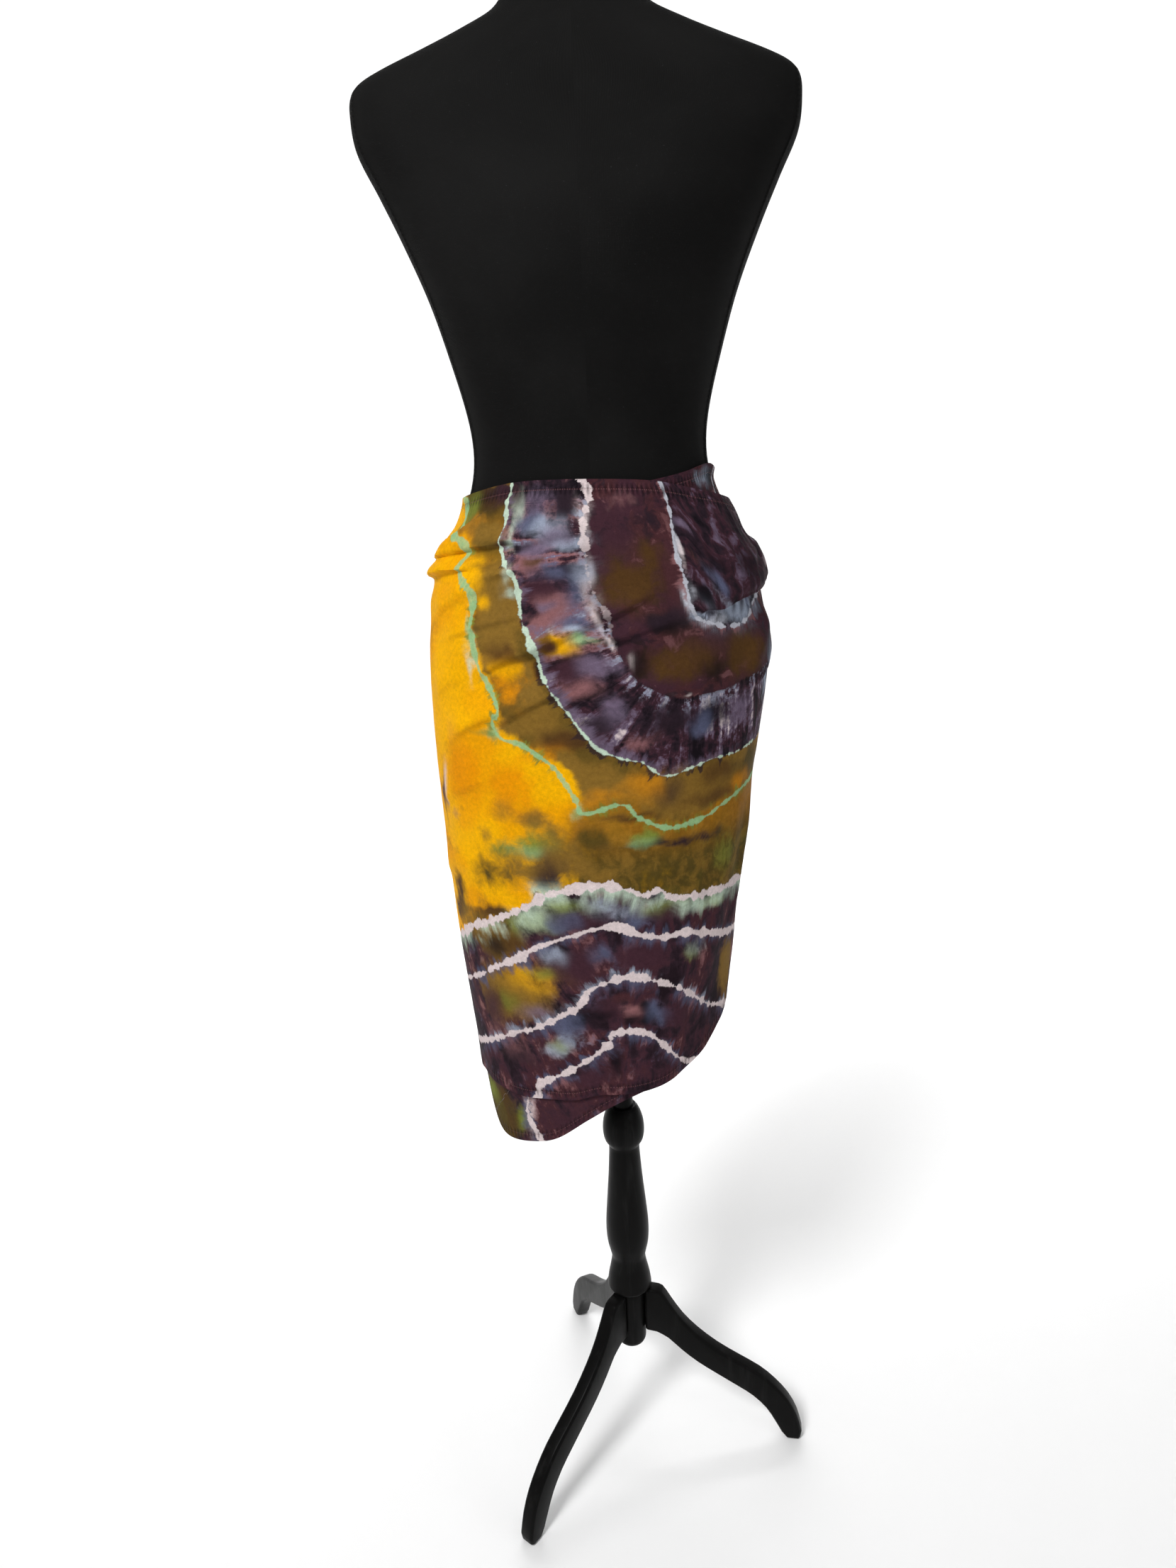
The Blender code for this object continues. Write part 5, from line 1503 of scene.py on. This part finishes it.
def eased_board(node, roundness):
    """A leg of the frame, copied and given eased edges."""
    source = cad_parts[node]
    leg = source.copy()
    leg.data = source.data.copy()
    leg.name = leg.data.name = node + "_board"
    leg.parent = None
    leg.matrix_world = Matrix.Identity(4)
    for key in list(leg.keys()):
        del leg[key]
    bpy.context.scene.collection.objects.link(leg)
    choose(leg)
    bpy.ops.object.mode_set(mode="EDIT")
    bpy.ops.mesh.select_all(action="SELECT")
    bpy.ops.mesh.remove_doubles(threshold=0.00002)
    bpy.ops.mesh.dissolve_limited(angle_limit=radians(1.0))
    bpy.ops.object.mode_set(mode="OBJECT")
    ease = leg.modifiers.new("eased edges", "BEVEL")
    ease.width = roundness
    ease.segments = 2
    ease.limit_method = "ANGLE"
    ease.angle_limit = radians(24)
    apply_modifiers(leg)
    bpy.ops.object.shade_smooth_by_angle(angle=radians(40))
    return leg


class SARONG_OT_legs(bpy.types.Operator):
    """Add the three legs, each cut from board with eased edges"""

    bl_idname = "sarong.legs"
    bl_label = "Legs"

    def execute(self, context):
        settings = context.scene.stand_settings
        wood = bpy.data.materials["black painted wood"]
        for node in LEG_NODES:
            leg = eased_board(node, settings.roundness)
            leg.data.materials.clear()
            leg.data.materials.append(wood)
            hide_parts(node)
            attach(leg, "root")
        return {"FINISHED"}


class SARONG_OT_stage(bpy.types.Operator):
    """Add the pale floor, the soft lights and the camera"""

    bl_idname = "sarong.stage"
    bl_label = "Stage"

    def execute(self, context):
        settings = context.scene.stage_settings
        self.add_floor(settings)
        self.add_lights(settings)
        self.add_camera(context)
        context.scene.view_settings.view_transform = "Standard"
        return {"FINISHED"}

    def add_floor(self, settings):
        """A wide floor that curves up into the wall behind."""
        deselect_all()
        bpy.ops.mesh.primitive_plane_add(size=FLOOR_SIZE, location=FLOOR_MIDDLE)
        floor = bpy.context.object
        floor.name = "studio_floor"
        bpy.ops.object.transform_apply(location=True, rotation=True, scale=True)
        bpy.ops.object.mode_set(mode="EDIT")
        bpy.ops.mesh.select_mode(type="EDGE")
        bpy.ops.mesh.select_all(action="DESELECT")
        shape = bmesh.from_edit_mesh(floor.data)
        for edge in shape.edges:
            edge.select = all(vert.co.y > 3 for vert in edge.verts)
        shape.select_flush_mode()
        bmesh.update_edit_mesh(floor.data)
        for step in range(CURVE_STEPS):
            lean = radians((step + 0.5) * 90 / CURVE_STEPS)
            move = (0, CURVE_STEP_LENGTH * cos(lean), CURVE_STEP_LENGTH * sin(lean))
            bpy.ops.mesh.extrude_region_move(TRANSFORM_OT_translate={"value": move})
        bpy.ops.mesh.extrude_region_move(TRANSFORM_OT_translate={"value": (0, 0, WALL_RISE)})
        bpy.ops.object.mode_set(mode="OBJECT")
        bpy.ops.object.shade_smooth()
        matte = Finish("pale floor", Roughness=0.9)
        matte.shader.inputs["Specular IOR Level"].default_value = 0.1
        place = matte.node("ShaderNodeTexCoord", output="Object")
        tone = tuple(settings.floor)
        duller = tuple(0.97 * channel for channel in tone)
        cloudy = matte.noise(place, 1.5, 3, 0.5)
        matte.feed("Base Color", matte.mix(tone, duller, cloudy))
        x, y, z = matte.parts(place)
        far = matte.step((x * x + y * y + z * z).power(0.5), 1.5, 2.8)
        seen = matte.node("ShaderNodeLightPath", output="Is Camera Ray")
        glow = {"Color": (1, 1, 1, 1), "Strength": BACKDROP_GLOW}
        glow = matte.node("ShaderNodeEmission", {}, glow)
        lit = Value(matte, matte.shader.outputs[0])
        surface = matte.node("ShaderNodeMixShader", {}, {0: far * seen, 1: lit, 2: glow})
        out = matte.tree.nodes["Material Output"]
        matte.tree.links.new(surface.socket, out.inputs["Surface"])
        floor.data.materials.append(matte.material)

    def add_lights(self, settings):
        """An even white sky and three large soft lights."""
        world = bpy.data.worlds.new("studio")
        world.use_nodes = True
        nodes, links = world.node_tree.nodes, world.node_tree.links
        sky = nodes["Background"]
        sky.inputs["Color"].default_value = (1, 1, 1, 1)
        brightness = nodes.new("ShaderNodeMapRange")
        brightness.inputs["To Min"].default_value = settings.sky
        brightness.inputs["To Max"].default_value = BACKDROP_GLOW
        seen = nodes.new("ShaderNodeLightPath")
        links.new(seen.outputs["Is Camera Ray"], brightness.inputs["Value"])
        links.new(brightness.outputs["Result"], sky.inputs["Strength"])
        bpy.context.scene.world = world
        cloth = Vector((AXIS_X, AXIS_Y, CLOTH_MIDDLE_HEIGHT))
        for name, place, target, size, power in (
            ("key", Vector((-1.2, -1.9, 3.1)), cloth, 0.9, settings.key_power),
            ("fill", Vector((2.4, -1.6, 1.4)), cloth, 1.4, settings.fill_power),
            ("wall", Vector((0.0, 2.2, 4.2)), Vector((0, 6, 1.8)), 3.0, settings.wall_power),
        ):
            light = bpy.data.lights.new(name, "AREA")
            light.shape = "DISK"
            light.size = size
            light.energy = power
            item = bpy.data.objects.new(name, light)
            item.location = place
            item.rotation_euler = (target - place).to_track_quat("-Z", "Y").to_euler()
            bpy.context.scene.collection.objects.link(item)

    def add_camera(self, context):
        """The photograph's camera, from the fit to the form, the post and the feet."""
        down, turn, roll = (radians(v) for v in (CAMERA_DOWN, CAMERA_TURN, CAMERA_ROLL))
        ahead = Vector((sin(turn) * cos(down), cos(turn) * cos(down), -sin(down)))
        right = Vector((cos(turn), -sin(turn), 0))
        above = right.cross(ahead)
        tilted_right = cos(roll) * right + sin(roll) * above
        tilted_above = cos(roll) * above - sin(roll) * right
        data = bpy.data.cameras.new("photo")
        data.sensor_width = SENSOR
        data.lens = FOCAL_PIXELS / PHOTO_HEIGHT * SENSOR
        data.clip_start = 0.05
        camera = bpy.data.objects.new("photo", data)
        turned = Matrix((tilted_right, tilted_above, -ahead)).transposed().to_4x4()
        place = Vector((AXIS_X, AXIS_Y - CAMERA_DISTANCE, CAMERA_HEIGHT))
        camera.matrix_world = Matrix.Translation(place) @ turned
        context.scene.collection.objects.link(camera)
        context.scene.camera = camera


class SARONG_PT_pieces(bpy.types.Panel):
    """The pieces and their settings"""

    bl_label = "Half sarong"
    bl_idname = "SARONG_PT_pieces"
    bl_space_type = "VIEW_3D"
    bl_region_type = "UI"
    bl_category = "Sarong"

    def draw(self, context):
        for group in ("stage_settings", "form_settings", "stand_settings", "sarong_settings"):
            box = self.layout.box()
            settings = getattr(context.scene, group)
            for name in settings.bl_rna.properties.keys():
                if name not in ("rna_type", "name"):
                    box.prop(settings, name)
        for piece in PIECES:
            self.layout.operator(piece.bl_idname)


PIECES = (
    SARONG_OT_stage,
    SARONG_OT_form_cover,
    SARONG_OT_turned_post,
    SARONG_OT_pole,
    SARONG_OT_legs,
    SARONG_OT_inner_front,
    SARONG_OT_back,
    SARONG_OT_outer_front,
)
GROUPS = {
    "sarong_settings": SarongSettings,
    "form_settings": FormSettings,
    "stand_settings": StandSettings,
    "stage_settings": StageSettings,
}


def register():
    for group in GROUPS.values():
        bpy.utils.register_class(group)
    for name, group in GROUPS.items():
        setattr(bpy.types.Scene, name, bpy.props.PointerProperty(type=group))
    for piece in PIECES:
        bpy.utils.register_class(piece)
    bpy.utils.register_class(SARONG_PT_pieces)


def unregister():
    bpy.utils.unregister_class(SARONG_PT_pieces)
    for piece in reversed(PIECES):
        bpy.utils.unregister_class(piece)
    for name in GROUPS:
        delattr(bpy.types.Scene, name)
    for group in reversed(GROUPS.values()):
        bpy.utils.unregister_class(group)


def main():
    """Registers the add-on and adds every piece."""
    register()
    for piece in PIECES:
        group, name = piece.bl_idname.split(".")
        getattr(getattr(bpy.ops, group), name)()


if __name__ == "__main__":
    main()
